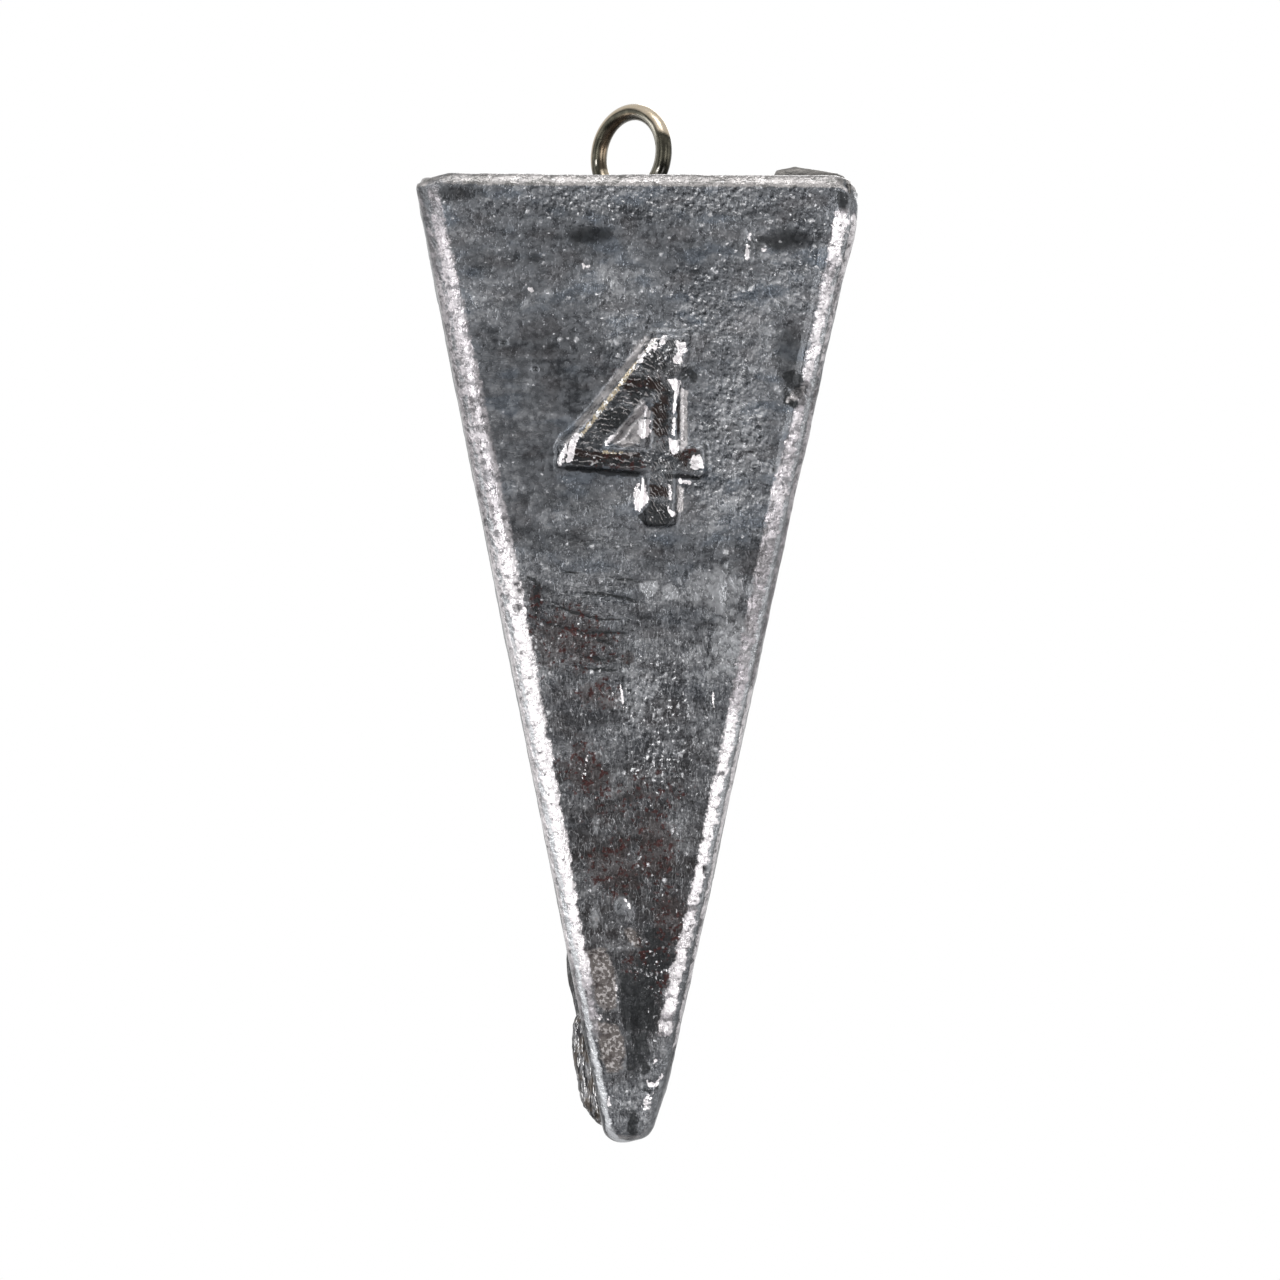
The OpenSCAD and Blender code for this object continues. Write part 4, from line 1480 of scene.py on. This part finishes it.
    # painted reflection on the rim of the top, gold, painted highlights, the blister and painted shade in the
    # pits
    fray = centred(look["fray"], 2.0)
    onRim = plus(times(mark("rim"), 0.75), times(fray, 0.35))
    rimSwing = plus(look["lap"], plus(centred(mottle, 0.6), times(relief, 0.5)))
    paint(edge("rim", onRim), mixed(edge("rimTone", rimSwing), "rimDark", "rim"), 0.92)
    lay("rimFlash", plus(onRim, centred(grain, 1.0)), mark("rim"))
    markedLayer("gold", fray)
    markedLayer("gold", centred(grain, 3.0), "goldFlash")
    paint(edge("blister", mark("blister")), mixed(edge("blisterTone", mottle), "skin", "paleSkin"), 0.5)
    markedLayer("paintedHighlight", fray)
    # painted shade in the pits
    paint(mark("pit"), "sootAndShade", 0.9)
    dull = plus(edge("dull", mottle), times(mark("clay"), 0.3))
    height = plus(times(grain, 0.3), times(mottle, 0.7), times(times(look["drag"], low), 0.5))
    height = plus(height, times(plus(lit, streak), 0.3))
    return nodes.metal(shade, dull, height, less(1.0, times(mark("smooth"), 0.7)), 0.13)


tornTones = {
    "dark": (0.028, 0.028, 0.030),
    "grey": (0.165, 0.165, 0.17),
    "brown": (0.088, 0.071, 0.056),
    "bright": (0.66, 0.65, 0.65),
}
tornLook = {
    "stretches": {"tall": ((1, 1, 0.24), -12)},
    "noises": {"fibre": ("tall", 4.2, 3, 0.65), "thread": ("tall", 7.5, 2), "patch": ("plain", 1.3)},
    "lessBare": -0.35,      # there is less bare metal where the patches are
    "coats": [              # what shows, where it sets in and is full, its tone
        ("fibre", (0.44, 0.56), "grey"),
        ("patch", (0.48, 0.58, 0.0, 0.7), "brown"),
        ("fibre", (0.34, 0.46, 0.8, 0.0), "dark"),
        ("bare", (0.575, 0.64, 0.0, 0.9), "bright"),
        ("thin", (0.5, 0.9, 0.0, 0.8), "dark"),
    ],
    "raised": 0.6,
    "dull": (0.3, 0.7, 0.24, 0.42),
    "bump": (1.0, 0.2),     # its strength, and how deep in millimetres
}


def coated(nodes, look, ground, coats, tones):
    shade = tones[ground]
    for name, edges, tint in coats:
        shade = nodes.blend(nodes.between(look[name], *edges), shade, tones[tint])
    return shade


def tornFinish():  # torn metal of the gate stub, in upright fibres
    nodes = Nodes(bpy.data.materials.new("tornLead"))
    look = noisesOf(nodes, tornLook["stretches"], tornLook["noises"])[1]
    look["thin"] = nodes.mark("thin")
    look["bare"] = nodes.plus(look["thread"], nodes.centred(look["patch"], tornLook["lessBare"]))
    shade = coated(nodes, look, "dark", tornLook["coats"], tornTones)
    height = nodes.plus(look["fibre"], nodes.times(look["thread"], tornLook["raised"]))
    return nodes.metal(shade, nodes.between(look["patch"], *tornLook["dull"]), height, *tornLook["bump"])


lipTones = {
    "creaseShade": (0.030, 0.012, 0.010),
    "face": (0.110, 0.105, 0.100),
    # crest: painted light along the top of the fold
    "crest": (0.215, 0.205, 0.195),
}
lipLook = {
    "stretches": {"flat": ((0.4, 0.4, 1.6), 0)},
    "noises": {"cloud": ("plain", 1.8), "drawn": ("flat", 5.0, 2)},
    "sway": 0.35,
    "coats": [
        ("rise", (0.22, 0.42), "face"),
        ("rise", (0.6, 0.9), "crest"),
        ("drawn", (0.5, 0.65, 0.0, 0.4), "crest"),
    ],
    "raised": 0.8,
    "dull": (0.3, 0.7, 0.28, 0.45),
    "bump": (1.0, 0.06),
}


def lipFinish():  # smooth squeezed metal of the flash lip, with painted shade where it meets the top and painted light on its crest
    nodes = Nodes(bpy.data.materials.new("flashLead"))
    look = noisesOf(nodes, lipLook["stretches"], lipLook["noises"])[1]
    look["rise"] = nodes.plus(nodes.mark("rise"), nodes.centred(look["cloud"], lipLook["sway"]))
    shade = coated(nodes, look, "creaseShade", lipLook["coats"], lipTones)
    height = nodes.plus(look["drawn"], nodes.times(look["cloud"], lipLook["raised"]))
    return nodes.metal(shade, nodes.between(look["cloud"], *lipLook["dull"]), height, *lipLook["bump"])


wireTones = {
    # cream, creamDeep, pale and tick are painted highlights
    "cream": (0.49, 0.42, 0.33),
    "creamDeep": (0.46, 0.39, 0.29),
    "olive": (0.028, 0.027, 0.021),
    "oliveGrey": (0.062, 0.058, 0.044),
    "brown": (0.175, 0.128, 0.088),
    "brownPale": (0.225, 0.175, 0.125),
    "pale": (0.44, 0.42, 0.36),
    "tick": (0.80, 0.76, 0.68),
}
wireLook = {
    "noises": {"cloud": ("plain", 1.1), "fine": ("plain", 5.0)},
    "skin": [("cloud", (0.4, 0.65), "oliveGrey")],
    "tan": [("cloud", (0.42, 0.6), "brownPale")],
    "worn": [("fine", (0.4, 0.6), "cream")],
    "dull": (0.3, 0.7, 0.2, 0.3),
    "bump": (0.6, 0.02),
}


def wireFinish():  # polished brass under tarnish, with painted highlights where it is bright, and brown bands
    nodes = Nodes(bpy.data.materials.new("tarnishedBrass"))
    look = noisesOf(nodes, {}, wireLook["noises"])[1]
    # worn here is the cream of the painted highlight
    shade, tan, worn = [coated(nodes, look, ground, wireLook[name], wireTones) for name, ground in
                        (("skin", "olive"), ("tan", "brown"), ("worn", "creamDeep"))]
    tints = {"brown": tan, "pale": wireTones["pale"], "cream": worn, "tick": wireTones["tick"]}
    for name, tint in tints.items():
        shade = nodes.blend(nodes.mark(name), shade, tint)
    return nodes.metal(shade, nodes.between(look["cloud"], *wireLook["dull"]), look["fine"], *wireLook["bump"])


leadCasting.data.materials.append(leadFinish())
gateStub.data.materials.append(tornFinish())
flashLip.data.materials.append(lipFinish())
eyeWire.data.materials.append(wireFinish())
print("finishes made")

for piece, node, slotName in (
    (leadCasting, "lead_body", "cast_lead"),
    (gateStub, "lead_body", "cast_lead"),
    (flashLip, "lead_body", "cast_lead"),
    (eyeWire, "wire_eye", "brass_wire"),
):
    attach(piece, "root")
    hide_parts(node)
